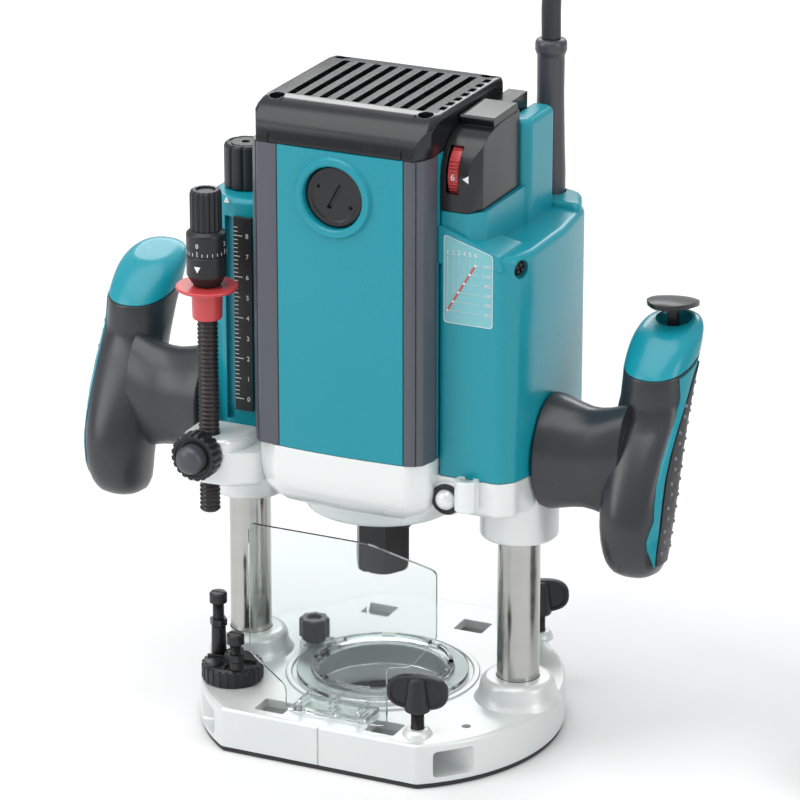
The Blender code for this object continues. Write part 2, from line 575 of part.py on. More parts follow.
shaft = turned([(0, 292.0), (4.0, 292.0), (4.0, 284.5), (5.0, 284.5), (5.0, 180.0), (7.8, 180.0),
                (7.8, 138.0), (9.8, 138.0), (9.8, 120.0), (8.5, 120.0), (8.5, 86.6), (6.8, 86.6),
                (6.8, 110.0), (0, 110.0)], 18)
put("spindle_shaft", shaft, (0, 0, 0), "steel")
collet = turned([(6.4, 104.0), (6.4, 86.0), (7.9, 81.0), (7.9, 78.6), (6.9, 77.3), (5.9, 77.3),
                 (5.9, 104.0)], 20)
put("collet_cone", collet, (0, 0, 0), "steel")
collet_nut = put("collet_nut", prism(ring_of(13.6, 6), 77.0, 104.5), (0, 0, 0), "black_steel")
cut(collet_nut, turned([(0, 105.5), (8.9, 105.5), (8.7, 79.2), (6.6, 74.0), (0, 74.0)]))
put("lower_bearing", tube(20.0, 10.1, 123.0, 135.0), (0, 0, 0), "steel")
put("upper_bearing", tube(11.0, 4.3, 285.0, 293.5), (0, 0, 0), "steel")
put("rotor_core", tube(21.5, 5.3, 186.0, 238.0), (0, 0, 0), "lamination")
put("commutator", tube(13.0, 5.3, 262.0, 283.0), (0, 0, 0), "copper")
fan = put("cooling_fan", turned([(12.0, 172.0), (12.0, 160.5), (32.0, 160.5), (32.0, 158.0),
                                 (8.1, 158.0), (8.1, 172.0)]), (0, 0, 0), "black_plastic")
BLADES = 7
for number in range(BLADES):
    vane = box((11.0, 30.0), (-0.9, 0.9), (159.0, 171.0))
    vane.transform(Matrix.Rotation(math.tau * (number + 0.3) / BLADES, 4, "Z"))
    add(fan, vane)
put("stator_core", tube(35.4, 22.4, 182.0, 242.0, 28), (0, 0, 0), "lamination")
put("speed_controller", box((48.0, 60.0), (14.0, 38.0), (160.0, 236.0)), (0, 0, 0), "black_plastic")


def spring(name, x):
    """A plunge spring that stands in its post and pushes up on the sleeve tube."""
    low, high, turns, radius, wire = 40.6, TUBE_TOP - 3.6, 7, 5.4, 0.9
    steps = turns * 7
    rings = []
    for i in range(steps + 1):
        angle = math.tau * turns * i / steps
        middle = low + wire + (high - low - 2 * wire) * i / steps
        rings.append([((radius + wire * c) * math.cos(angle), (radius + wire * c) * math.sin(angle),
                       middle + wire * s) for c, s in ring_of(1.0, 4)])
    put(name, lofted(rings), (x, 0, 0), "steel")


spring("left_plunge_spring", -POST_X)
spring("right_plunge_spring", POST_X)

# ---------------------------------------------------------------- handles


def grip_section(side, z, y, wide, deep, lean):
    """A rounded section across the grip, tipped back by its lean."""
    ring = []
    for c, s in ring_of(1.0, 20):
        across = wide * math.copysign(abs(c) ** 0.85, c)
        along = deep * math.copysign(abs(s) ** 0.85, s)
        ring.append((side * (GRIP_X + across), y + along * math.cos(lean), z + along * math.sin(lean)))
    return ring if side > 0 else ring[::-1]


def handle(side, name, shift):
    """A grip that leans back at its top, on a neck from the side of the motor unit."""
    def section(z, y, wide, deep, lean):
        return grip_section(side, z, y + shift, wide, deep, math.radians(lean))

    grip = [section(97.5, -9.0, 7.0, 9.0, -8.0), section(99.5, -9.5, 10.0, 13.0, -8.0),
            section(105.0, -10.5, 12.5, 16.5, -6.0), section(116.0, -12.0, 14.5, 18.5, -2.0),
            section(134.0, -9.0, GRIP_WIDE, 20.5, 8.0), section(152.0, -3.0, GRIP_WIDE, GRIP_DEEP, 18.0),
            section(168.0, 4.0, GRIP_WIDE, GRIP_DEEP, 26.0), section(182.0, 12.0, GRIP_WIDE, 21.0, 32.0),
            section(194.0, 17.0, GRIP_WIDE, 21.5, 14.0)]
    body = put(name, lofted(grip), (0, 0, 0), "grey_elastomer")
    neck = []
    for x, high, deep, y in ((84.2, 27.0, 22.0, -2.0), (92.0, 26.5, 21.5, -2.0),
                             (104.0, 24.0, 18.5, -3.0), (114.0, 25.5, 17.0, -4.0),
                             (124.0, 29.0, 15.0, -4.0)):
        ring = [(side * x, y + shift + deep * c, NECK_Z + high * s) for c, s in ring_of(1.0, 24)]
        neck.append(ring if side > 0 else ring[::-1])
    add(body, lofted(neck))
    cut(body, shifted(disc(SLEEVE_RADIUS + GAP, 95.0, SIDE_BOTTOM), side * POST_X))
    cap = [section(194.4, 17.2, GRIP_WIDE, 21.5, 14.0), section(199.5, 20.5, GRIP_WIDE, 20.8, 14.0),
           section(204.0, 23.6, 15.2, 19.0, 14.0), section(207.0, 25.8, 12.8, 15.5, 12.0),
           section(208.3, 26.5, 8.5, 10.5, 10.0)]
    put(name + "_cap", lofted(cap), (0, 0, 0), "teal_plastic")
    return body


left_handle = handle(-1, "left_handle", -4.0)
right_handle = handle(1, "right_handle", 4.0)

# Trigger in the back of the right grip, and the thumb lever on top that unlocks it.
TRIGGER = (GRIP_X, 37.0, 186.0)
cut(right_handle, box((GRIP_X - 6.5, GRIP_X + 6.5), (14.0, 60.0), (140.0, 180.0)))
trigger_body = prism([(18.0, 176.0), (18.0, 144.0), (31.0, 142.5), (36.5, 150.0), (39.0, 162.0),
                      (38.0, 176.0)], GRIP_X - 5.8, GRIP_X + 5.8)
trigger_body.transform(Matrix(((0, 0, 1, 0), (1, 0, 0, 0), (0, 1, 0, 0), (0, 0, 0, 1))))
put("trigger", shifted(trigger_body, -TRIGGER[0], -18.0, -176.0), (TRIGGER[0], 18.0, 176.0),
    "black_plastic")

THUMB = (GRIP_X, 34.0, 208.0)
cut(bpy.data.objects["right_handle_cap"], shifted(disc(2.9, 200.0, 230.0, 16), THUMB[0], THUMB[1]))
thumb_lever = put("lock_off_lever", shifted(disc(2.5, 202.5, 217.0, 16), 0, 0, -THUMB[2]), THUMB,
                  "black_plastic")
pad = lofted([[(x * w, y, z) for x, z in ((-1, h - 1.0), (1, h - 1.0), (0.8, h + 1.6), (-0.8, h + 1.6))]
              for y, w, h in ((-15.0, 6.0, 11.2), (-9.0, 10.0, 10.4), (4.0, 11.0, 9.4),
                              (12.0, 8.0, 7.6), (15.0, 5.0, 7.0))])
add(thumb_lever, pad, at=THUMB)

# ---------------------------------------------------------------- cord guard, cord and plug

guard = turned([(0, GUARD_TOP), (5.5, GUARD_TOP), (7.4, GUARD_TOP - 1.5), (7.4, GUARD_TOP - 6.0),
                (6.2, GUARD_TOP - 9.0), (6.8, 290.0), (GUARD_RADIUS, 262.0), (GUARD_RADIUS, 247.3),
                (5.5, 247.3), (5.5, 238.0), (0, 238.0)], 16)
put("cord_guard", guard, (*GUARD, 0), "black_plastic")

COIL = (266.0, 45.0)
COIL_OUTER = 59.2
COIL_INNER = 40.8
COIL_TOP = 27.2
CORD_RADIUS = CORD_DIAMETER / 2
PLUG_RADIUS = 18.5
PLUG_Z = COIL_TOP + GAP + PLUG_RADIUS
PLUG_TURN = 30.0

# From the guard the cord rises, bends over, falls to the floor behind and right, and joins the
# coil. The tail climbs off the coil's top to the plug that lies on it.
CORD_ROUTE = [(57.5, 60.0, 326.3), (57.5, 60.0, 345.0), (59.5, 60.7, 371.0), (71.0, 65.2, 399.0),
              (94.0, 74.5, 416.0), (123.0, 86.0, 420.0), (151.0, 97.0, 406.0),
              (170.0, 104.5, 379.0), (179.0, 108.0, 345.0), (183.0, 109.5, 300.0),
              (184.0, 110.0, 240.0), (184.0, 110.3, 180.0), (184.0, 110.6, 120.0),
              (185.5, 111.2, 75.0), (191.0, 112.0, 42.0), (203.0, 112.5, 18.0),
              (219.0, 111.6, 7.4), (236.0, 109.2, 4.9), (249.7, 105.9, 4.6)]
TAIL_ROUTE = [(219.0, 27.9, 32.2), (216.6, 43.0, 34.8), (219.2, 57.5, 39.6), (224.0, 68.2, 43.8),
              (230.1, 74.4, 45.8), (237.0, 78.4, PLUG_Z)]


def smooth_route(points, step):
    """Points at even steps on a curve through all the route's points."""
    ends = [Vector(p) for p in points]
    ends = [2 * ends[0] - ends[1]] + ends + [2 * ends[-1] - ends[-2]]
    fine = []
    for a, b, c, d in zip(ends, ends[1:], ends[2:], ends[3:]):
        for i in range(40):
            t = i / 40
            fine.append(0.5 * (2 * b + (c - a) * t + (2 * a - 5 * b + 4 * c - d) * t * t
                               + (3 * b - a - 3 * c + d) * t ** 3))
    fine.append(ends[-2])
    lengths = [0.0]
    for before, after in zip(fine, fine[1:]):
        lengths.append(lengths[-1] + (after - before).length)
    count = max(2, round(lengths[-1] / step))
    kept = [fine[0]]
    for number in range(1, count):
        wanted = lengths[-1] * number / count
        kept.append(next(p for p, run in zip(fine, lengths) if run >= wanted))
    return kept + [fine[-1]]


def cord(name, route):
    curve = bpy.data.curves.new(name, "CURVE")
    curve.dimensions = "3D"
    points = smooth_route(route, 2.4 * CORD_DIAMETER)
    spline = curve.splines.new("POLY")
    spline.points.add(len(points) - 1)
    for target, point in zip(spline.points, points):
        target.co = (*(point * MM), 1.0)
    curve.bevel_depth = CORD_RADIUS * MM
    curve.bevel_resolution = 2
    curve.use_fill_caps = True
    curve.materials.append(materials["cord_rubber"])
    made = bpy.data.objects.new(name, curve)
    made.parent = router
    bpy.context.collection.objects.link(made)


cord("power_cord", CORD_ROUTE)
cord("cord_tail", TAIL_ROUTE)
coil = turned([(COIL_OUTER - 3, COIL_TOP), (COIL_OUTER, COIL_TOP - 3), (COIL_OUTER, 3.0),
               (COIL_OUTER - 3, 0.0), (COIL_INNER + 3, 0.0), (COIL_INNER, 3.0),
               (COIL_INNER, COIL_TOP - 3), (COIL_INNER + 3, COIL_TOP)], 24)
put("cord_coil", coil, (*COIL, 0), "cord_rubber")
plug = turned([(0, 60.0), (PLUG_RADIUS - 1, 60.0), (PLUG_RADIUS, 59.0), (PLUG_RADIUS, 44.0),
               (12.5, 26.0), (8.0, 22.0), (5.6, 1.4), (0, 1.4)])
plug_end = Vector(TAIL_ROUTE[-1])
plug_way = Matrix.Rotation(math.radians(PLUG_TURN), 4, "Z") @ Matrix.Rotation(math.pi / 2, 4, "Y")
plug.transform(plug_way)
plug_body = put("plug", plug, plug_end, "cord_rubber")
for side in (-1, 1):
    pin = shifted(disc(2.4, 55.0, 79.0, 10, 1.0), 0, side * 9.5)
    pin.transform(plug_way)
    add(plug_body, pin, at=plug_end)
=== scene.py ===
import math

import bmesh
import bpy
from mathutils import Matrix, Vector


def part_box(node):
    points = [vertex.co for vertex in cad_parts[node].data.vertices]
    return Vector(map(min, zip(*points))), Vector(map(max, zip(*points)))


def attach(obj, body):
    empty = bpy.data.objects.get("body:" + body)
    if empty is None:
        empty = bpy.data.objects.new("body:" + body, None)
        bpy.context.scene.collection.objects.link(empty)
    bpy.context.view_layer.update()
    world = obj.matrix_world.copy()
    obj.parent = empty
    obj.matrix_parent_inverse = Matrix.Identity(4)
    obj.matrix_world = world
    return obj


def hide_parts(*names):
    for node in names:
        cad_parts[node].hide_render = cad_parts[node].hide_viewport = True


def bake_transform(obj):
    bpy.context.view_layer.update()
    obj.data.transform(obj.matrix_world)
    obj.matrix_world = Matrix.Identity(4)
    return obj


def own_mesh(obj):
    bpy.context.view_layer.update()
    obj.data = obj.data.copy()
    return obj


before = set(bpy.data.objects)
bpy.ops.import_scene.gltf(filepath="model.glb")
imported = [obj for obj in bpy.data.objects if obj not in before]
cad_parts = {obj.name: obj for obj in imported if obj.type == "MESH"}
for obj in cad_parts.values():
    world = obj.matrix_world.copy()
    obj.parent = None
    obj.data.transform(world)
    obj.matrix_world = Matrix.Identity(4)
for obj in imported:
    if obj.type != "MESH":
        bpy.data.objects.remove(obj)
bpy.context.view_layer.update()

# ---------------------------------------------------------------- studio
# A long lens looks a little down at the machine. It stands on a pale floor that runs on past the
# lamps, under one big soft lamp overhead, a soft lamp at each side and a narrow strip behind.
camera = bpy.data.objects.new("camera", bpy.data.cameras.new("camera"))
camera.data.lens = 204.6
camera.data.sensor_width = 36.0
camera.data.clip_end = 60.0
camera.location = (0.85085, -1.80637, 0.89592)
line_of_sight = Vector((0.00886, -0.0110, 0.16107)) - camera.location
camera.rotation_euler = line_of_sight.to_track_quat("-Z", "Y").to_euler()
bpy.context.collection.objects.link(camera)
bpy.context.scene.camera = camera
bpy.context.scene.view_settings.view_transform = "Standard"


def soft_lamp(name, place, aim, size, watts):
    lamp = bpy.data.objects.new(name, bpy.data.lights.new(name, "AREA"))
    lamp.data.shape = "RECTANGLE"
    lamp.data.size, lamp.data.size_y = size
    lamp.data.energy = watts
    lamp.location = place
    lamp.rotation_euler = (Vector(aim) - Vector(place)).to_track_quat("-Z", "Y").to_euler()
    bpy.context.collection.objects.link(lamp)


MIDDLE = (0.0, 0.0, 0.18)
soft_lamp("overhead", (-0.3, -0.5, 2.2), MIDDLE, (2.0, 2.0), 32.0)
soft_lamp("left_front", (-1.5, -1.5, 1.1), MIDDLE, (0.9, 1.6), 16.0)
soft_lamp("right_side", (2.0, -0.5, 0.9), MIDDLE, (0.5, 1.4), 9.0)
soft_lamp("rear_strip", (-0.6, 1.8, 1.3), MIDDLE, (1.6, 0.5), 14.0)

sky = bpy.data.worlds.new("studio")
sky.use_nodes = True
bpy.context.scene.world = sky
sky_nodes = sky.node_tree.nodes
sky_links = sky.node_tree.links
sky_place = sky_nodes.new("ShaderNodeTexCoord")
sky_split = sky_nodes.new("ShaderNodeSeparateXYZ")
sky_ramp = sky_nodes.new("ShaderNodeValToRGB")
sky_ramp.color_ramp.elements[0].position = 0.0
sky_ramp.color_ramp.elements[0].color = (0.62, 0.63, 0.64, 1.0)
sky_ramp.color_ramp.elements[1].position = 0.7
sky_ramp.color_ramp.elements[1].color = (0.98, 0.98, 0.98, 1.0)
sky_links.new(sky_place.outputs["Generated"], sky_split.inputs[0])
sky_links.new(sky_split.outputs["Z"], sky_ramp.inputs["Fac"])
sky_links.new(sky_ramp.outputs["Color"], sky_nodes["Background"].inputs["Color"])
sky_nodes["Background"].inputs["Strength"].default_value = 0.72

# ---------------------------------------------------------------- cord
# Black rubber mains cord, 2.5 m long. It leaves the guard upwards, bends over, falls to the
# floor and lies in six turns, with its moulded plug on top of the coil.
MM = 0.001
axis_low, axis_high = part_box("spindle_shaft")
SPINDLE = (axis_low + axis_high) / 2
TO_ROW = Matrix.Translation((SPINDLE.x, SPINDLE.y, 0.0)) @ Matrix.Scale(MM, 4)


def ring_of(radius, steps, start=0.0, sweep=360.0):
    count = steps if sweep == 360.0 else steps + 1
    turns = (math.radians(start + sweep * i / steps) for i in range(count))
    return [(radius * math.cos(t), radius * math.sin(t)) for t in turns]


def rounded(points, radius, steps=3, closed=True):
    """The same outline with each corner turned into a short curve."""
    made = []
    count = len(points)
    for i, point in enumerate(points):
        here = Vector(point)
        if not closed and i in (0, count - 1):
            made.append(tuple(here))
            continue
        back = Vector(points[i - 1]) - here
        ahead = Vector(points[(i + 1) % count]) - here
        reach = min(radius, 0.42 * back.length, 0.42 * ahead.length)
        if back.length < 1e-4 or ahead.length < 1e-4 or back.angle(ahead) > math.radians(165):
            made.append(tuple(here))
            continue
        first, last = here + back.normalized() * reach, here + ahead.normalized() * reach
        for k in range(steps + 1):
            t = k / steps
            curve = first * (1 - t) ** 2 + here * 2 * t * (1 - t) + last * t * t
            made.append(tuple(curve))
    return made


def inset_by(outline, distance):
    """The outline moved inwards by the same distance on every side."""
    spots = [Vector(p) for p in outline]
    area = sum(a.x * b.y - b.x * a.y for a, b in zip(spots, spots[1:] + spots[:1]))
    inwards = 1.0 if area > 0 else -1.0
    made = []
    for i, here in enumerate(spots):
        before = (here - spots[i - 1]).normalized()
        after = (spots[(i + 1) % len(spots)] - here).normalized()
        first = Vector((-before.y, before.x)) * inwards
        second = Vector((-after.y, after.x)) * inwards
        made.append(tuple(here + (first + second) * distance / max(0.2, 1 + first.dot(second))))
    return made


def prism(outline, low, high, round_top=0.0, round_low=0.0, steps=3, corner=0.0):
    """A solid on a flat outline, with its corners and its rims rounded over."""
    quarter = [math.radians(90.0 * k / steps) for k in range(steps + 1)]
    levels = [(0.0, low)]
    if round_low:
        levels = [(round_low * (1 - math.sin(t)), low + round_low * (1 - math.cos(t))) for t in quarter]
    if round_top:
        levels += [(round_top * (1 - math.cos(t)), high - round_top * (1 - math.sin(t)))
                   for t in quarter]
    else:
        levels.append((0.0, high))
    rings = []
    for inset, level in levels:
        ring = inset_by(outline, inset) if inset else outline
        if corner:
            ring = rounded(ring, max(corner - inset, 0.15 * corner), 4)
        rings.append([(x, y, level) for x, y in ring])
    return lofted(rings)


def block(x, y, z, edge=0.4):
    """A block between two corners with all its edges rounded."""
    shape = prism([(x[0], y[0]), (x[1], y[0]), (x[1], y[1]), (x[0], y[1])], z[0], z[1])
    if edge:
        bmesh.ops.bevel(shape, geom=shape.edges[:], offset=edge, segments=2, profile=0.5,
                        affect="EDGES")
    return shape


def disc(radius, low, high, steps=64, round_top=0.0, round_low=0.0):
    return prism(ring_of(radius, steps, 180.0 / steps), low, high, round_top, round_low)


def turned(profile, steps=72, ease=0.0):
    """A body of revolution about Z. An open profile starts and ends on the axis."""
    closed = profile[0][0] > 0.0
    if ease:
        profile = rounded(profile, ease, 3, closed)
    shape = bmesh.new()
    verts = [shape.verts.new((r, 0.0, z)) for r, z in profile]
    edges = [shape.edges.new(pair) for pair in zip(verts, verts[1:])]
    if closed:
        edges.append(shape.edges.new((verts[-1], verts[0])))
    bmesh.ops.spin(shape, geom=verts + edges, cent=(0, 0, 0), axis=(0, 0, 1),
                   angle=math.tau, steps=steps, use_merge=True)
    bmesh.ops.remove_doubles(shape, verts=shape.verts, dist=1e-3)
    bmesh.ops.recalc_face_normals(shape, faces=shape.faces)
    return shape


def lofted(rings):
    """A skin over rings with the same number of points, closed at both ends."""
    shape = bmesh.new()
    loops = [[shape.verts.new(point) for point in ring] for ring in rings]
    for below, above in zip(loops, loops[1:]):
        for i in range(len(below)):
            j = (i + 1) % len(below)
            shape.faces.new((below[i], below[j], above[j], above[i]))
    shape.faces.new(list(reversed(loops[0])))
    shape.faces.new(loops[-1])
    bmesh.ops.recalc_face_normals(shape, faces=shape.faces)
    return shape


def swept(points, radius, sides=20, flat=1.0):
    """A round bar along a line of points, with closed ends; flat squeezes one way."""
    line = [Vector(p) for p in points]
    ahead = [(b - a).normalized() for a, b in zip(line, line[1:])]
    ways = [ahead[0]] + [(a + b).normalized() for a, b in zip(ahead, ahead[1:])] + [ahead[-1]]
    side = ways[0].orthogonal().normalized()
    rings = []
    for place, way in zip(line, ways):
        side = (side - way * side.dot(way)).normalized()
        up = way.cross(side)
        rings.append([place + (side * c + up * s * flat) * radius for c, s in ring_of(1.0, sides)])
    return lofted(rings)


def turned_over(shape, angle, axis):
    shape.transform(Matrix.Rotation(math.radians(angle), 4, axis))
    return shape


def along_x(shape):
    return turned_over(shape, 90, "Y")


def along_y(shape):
    return turned_over(shape, -90, "X")


def shifted(shape, x=0.0, y=0.0, z=0.0):
    shape.transform(Matrix.Translation((x, y, z)))
    return shape


def together(*shapes):
    """Shapes kept side by side in one mesh, such as a row of marks."""
    whole = bmesh.new()
    for shape in shapes:
        spare = bpy.data.meshes.new("spare")
        shape.to_mesh(spare)
        shape.free()
        whole.from_mesh(spare)
        bpy.data.meshes.remove(spare)
    return whole


def boolean(shape, tools, operation):
    """Cuts or joins closed shapes and gives back the result."""
    def stand_in(source):
        mesh = bpy.data.meshes.new("spare")
        source.to_mesh(mesh)
        source.free()
        made = bpy.data.objects.new("spare", mesh)
        bpy.context.collection.objects.link(made)
        return made

    target = stand_in(shape)
    spares = [target]
    for tool in tools:
        spares.append(stand_in(tool))
        modifier = target.modifiers.new("boolean", "BOOLEAN")
        modifier.operation = operation
        modifier.object = spares[-1]
        modifier.solver = "EXACT"
    bpy.context.view_layer.update()
    result = bmesh.new()
    result.from_object(target, bpy.context.evaluated_depsgraph_get())
    for spare in spares:
        mesh = spare.data
        bpy.data.objects.remove(spare)
        bpy.data.meshes.remove(mesh)
    return result


def cut(shape, *tools):
    return boolean(shape, tools, "DIFFERENCE")


def add(shape, *tools):
    return boolean(shape, tools, "UNION")


def show(name, shape, finish, body, nodes=(), crease=34.0, at=(0.0, 0.0, 0.0)):
    """Makes a piece of a shape in millimetres about the spindle's axis and fixes it to its body."""
    shape.transform(TO_ROW @ Matrix.Translation(at))
    mesh = bpy.data.meshes.new(name)
    shape.to_mesh(mesh)
    shape.free()
    mesh.materials.append(finish)
    mesh.shade_smooth()
    mesh.set_sharp_from_angle(angle=math.radians(crease))
    piece = bpy.data.objects.new(name, mesh)
    bpy.context.collection.objects.link(piece)
    even = piece.modifiers.new("even_shading", "WEIGHTED_NORMAL")
    even.keep_sharp = True
    if body:
        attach(piece, body)
    if nodes:
        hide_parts(*nodes)
    return piece


def group_of(name, inputs, outputs):
    """A shader node group with named sockets; gives its tree and its two end nodes."""
    tree = bpy.data.node_groups.new(name, "ShaderNodeTree")
    for label, value in inputs:
        socket = tree.interface.new_socket(label, in_out="INPUT", socket_type="NodeSocketFloat")
        socket.default_value = value
    for label in outputs:
        tree.interface.new_socket(label, in_out="OUTPUT", socket_type="NodeSocketFloat")
    return tree, tree.nodes.new("NodeGroupInput"), tree.nodes.new("NodeGroupOutput")


def node(tree, kind, **settings):
    made = tree.nodes.new(kind)
    for key, value in settings.items():
        setattr(made, key, value)
    return made


def preset(made, values):
    for socket, value in values.items():
        made.inputs[socket].default_value = value


def wire(tree, *pairs):
    for source, target in pairs:
        tree.links.new(source, target)


# Moulded grain: the fine spark texture of a mould, its slow drift in tone, and handling dust.
grain_tree, grain_in, grain_out = group_of(
    "moulded_grain", (("Grain", 1800.0), ("Drift", 14.0), ("Stretch", 1.0)),
    ("Grain", "Drift", "Dust"))
grain_place = node(grain_tree, "ShaderNodeTexCoord")
grain_squeeze = node(grain_tree, "ShaderNodeCombineXYZ")
grain_spread = node(grain_tree, "ShaderNodeVectorMath", operation="MULTIPLY")
grain_fine = node(grain_tree, "ShaderNodeTexNoise")
grain_slow = node(grain_tree, "ShaderNodeTexNoise")
grain_dust = node(grain_tree, "ShaderNodeTexNoise")
grain_thin = node(grain_tree, "ShaderNodeMapRange")
preset(grain_fine, {"Detail": 3.0, "Roughness": 0.6})
preset(grain_slow, {"Detail": 4.0})
preset(grain_dust, {"Scale": 260.0, "Detail": 6.0, "Roughness": 0.75})
preset(grain_thin, {"From Min": 0.58, "From Max": 0.78})
preset(grain_squeeze, {"X": 1.0, "Y": 1.0})
wire(grain_tree,
     (grain_in.outputs["Stretch"], grain_squeeze.inputs["Z"]),
     (grain_place.outputs["Object"], grain_spread.inputs[0]),
     (grain_squeeze.outputs[0], grain_spread.inputs[1]),
     (grain_spread.outputs[0], grain_fine.inputs["Vector"]),
     (grain_spread.outputs[0], grain_slow.inputs["Vector"]),
     (grain_place.outputs["Object"], grain_dust.inputs["Vector"]),
     (grain_in.outputs["Grain"], grain_fine.inputs["Scale"]),
     (grain_in.outputs["Drift"], grain_slow.inputs["Scale"]),
     (grain_fine.outputs["Fac"], grain_out.inputs["Grain"]),
     (grain_slow.outputs["Fac"], grain_out.inputs["Drift"]),
     (grain_dust.outputs["Fac"], grain_thin.inputs["Value"]),
     (grain_thin.outputs[0], grain_out.inputs["Dust"]))


def finish(name, colour, deep, rough, grain=1800.0, relief=0.02, drift=14.0, stretch=1.0,
           dust=0.08, spread=0.10, metallic=0.0, coat=0.0, edge=0.35, sheen=0.5):
    """A material: two tones that drift into each other, grain in relief, dust and soft edges."""
    made = bpy.data.materials.new(name)
    made.use_nodes = True
    tree = made.node_tree
    shader = tree.nodes["Principled BSDF"]
    texture = node(tree, "ShaderNodeGroup", node_tree=grain_tree)
    preset(texture, {"Grain": grain, "Drift": drift, "Stretch": stretch})
    tone = node(tree, "ShaderNodeMix", data_type="RGBA")
    preset(tone, {"A": (*deep, 1.0), "B": (*colour, 1.0)})
    dusty = node(tree, "ShaderNodeMix", data_type="RGBA")
    preset(dusty, {"B": (*(0.6 * c + 0.3 for c in colour), 1.0)})
    dust_share = node(tree, "ShaderNodeMath", operation="MULTIPLY")
    dust_share.inputs[1].default_value = dust
    roughness = node(tree, "ShaderNodeMapRange")
    preset(roughness, {"From Min": 0.3, "From Max": 0.7,
                       "To Min": max(0.03, rough - spread / 2), "To Max": rough + spread / 2})
    relief_node = node(tree, "ShaderNodeBump")
    preset(relief_node, {"Strength": 0.5, "Distance": relief * MM})
    soft_edge = node(tree, "ShaderNodeBevel", samples=4)
    preset(soft_edge, {"Radius": edge * MM})
    preset(shader, {"Metallic": metallic, "Specular IOR Level": sheen, "Coat Weight": coat,
                    "Coat Roughness": 0.12})
    wire(tree,
         (texture.outputs["Drift"], tone.inputs["Factor"]),
         (texture.outputs["Dust"], dust_share.inputs[0]),
         (dust_share.outputs[0], dusty.inputs["Factor"]),
         (tone.outputs["Result"], dusty.inputs["A"]),
         (dusty.outputs["Result"], shader.inputs["Base Color"]),
         (texture.outputs["Drift"], roughness.inputs["Value"]),
         (roughness.outputs[0], shader.inputs["Roughness"]),
         (texture.outputs["Grain"], relief_node.inputs["Height"]),
         (soft_edge.outputs["Normal"], relief_node.inputs["Normal"]),
         (relief_node.outputs["Normal"], shader.inputs["Normal"]))
    return made


cord_rubber = finish("cord_rubber", (0.030, 0.031, 0.034), (0.018, 0.018, 0.020), 0.46, 2600.0,
                     0.03, 9.0, 1.0, 0.12, 0.12)

CORD_RADIUS = 4.5
COIL = (266.0, 45.0)
PLUG_RADIUS = 18.5
PLUG_TURN = 30.0
CORD_ROUTE = [(57.5, 60.0, 326.3), (57.5, 60.0, 345.0), (59.5, 60.7, 371.0), (71.0, 65.2, 399.0),
              (94.0, 74.5, 416.0), (123.0, 86.0, 420.0), (151.0, 97.0, 406.0),
              (170.0, 104.5, 379.0), (179.0, 108.0, 345.0), (183.0, 109.5, 300.0),
              (184.0, 110.0, 240.0), (184.0, 110.3, 180.0), (184.0, 110.6, 120.0),
              (185.5, 111.2, 75.0), (191.0, 112.0, 42.0), (203.0, 112.5, 18.0),
              (219.0, 111.6, 7.4), (236.0, 109.2, 4.9)]
TAIL_ROUTE = [(219.0, 27.9, 32.2), (216.6, 43.0, 34.8), (219.2, 57.5, 39.6), (224.0, 68.2, 43.8),
              (230.1, 74.4, 45.8), (237.0, 78.4, 46.0)]
COIL_SEATS = [(54.5, 4.5), (45.5, 4.5), (45.5, 13.5), (54.5, 13.5), (54.5, 22.5), (45.5, 22.5)]
COIL_START = 105.0
COIL_END = 202.0
COIL_LAPS = 5 + (COIL_START + 360.0 - COIL_END) / 360.0
LAP_STEPS = 36


def coil_turns():
    """Clockwise turns in two columns; each moves to its next seat over its last sixth."""
    made = []
    for i in range(round(COIL_LAPS * LAP_STEPS) + 1):
        laps = i / LAP_STEPS
        seat = min(int(laps), len(COIL_SEATS) - 1)
        after = min(seat + 1, len(COIL_SEATS) - 1)
        move = max(0.0, (laps - seat - 0.80) / 0.20) if seat < len(COIL_SEATS) - 1 else 0.0
        ease = move * move * (3 - 2 * move)
        reach = COIL_SEATS[seat][0] * (1 - ease) + COIL_SEATS[after][0] * ease
        level = COIL_SEATS[seat][1] * (1 - ease) + COIL_SEATS[after][1] * ease
        turn = math.radians(COIL_START - 360.0 * laps)
        made.append((COIL[0] + reach * math.cos(turn), COIL[1] + reach * math.sin(turn), level))
    return made


def smooth_route(points, step):
    """Points at even steps on a curve through all the route's points."""
    ends = [Vector(p) for p in points]
    ends = [2 * ends[0] - ends[1]] + ends + [2 * ends[-1] - ends[-2]]
    fine = []
    for a, b, c, d in zip(ends, ends[1:], ends[2:], ends[3:]):
        for i in range(12):
            t = i / 12
            fine.append(0.5 * (2 * b + (c - a) * t + (2 * a - 5 * b + 4 * c - d) * t * t
                               + (3 * b - a - 3 * c + d) * t ** 3))
    fine.append(ends[-2])
    lengths = [0.0]
    for before, after in zip(fine, fine[1:]):
        lengths.append(lengths[-1] + (after - before).length)
    count = max(2, round(lengths[-1] / step))
    kept = [fine[0]]
    for number in range(1, count):
        wanted = lengths[-1] * number / count
        kept.append(next(p for p, run in zip(fine, lengths) if run >= wanted))
    return kept + [fine[-1]]


cord_line = smooth_route(CORD_ROUTE + coil_turns() + TAIL_ROUTE[1:], 4.0)
cord_piece = show("mains_cord", swept(cord_line, CORD_RADIUS, 16), cord_rubber, None,
                  ("power_cord", "cord_coil", "cord_tail"), 60.0)
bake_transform(cord_piece)

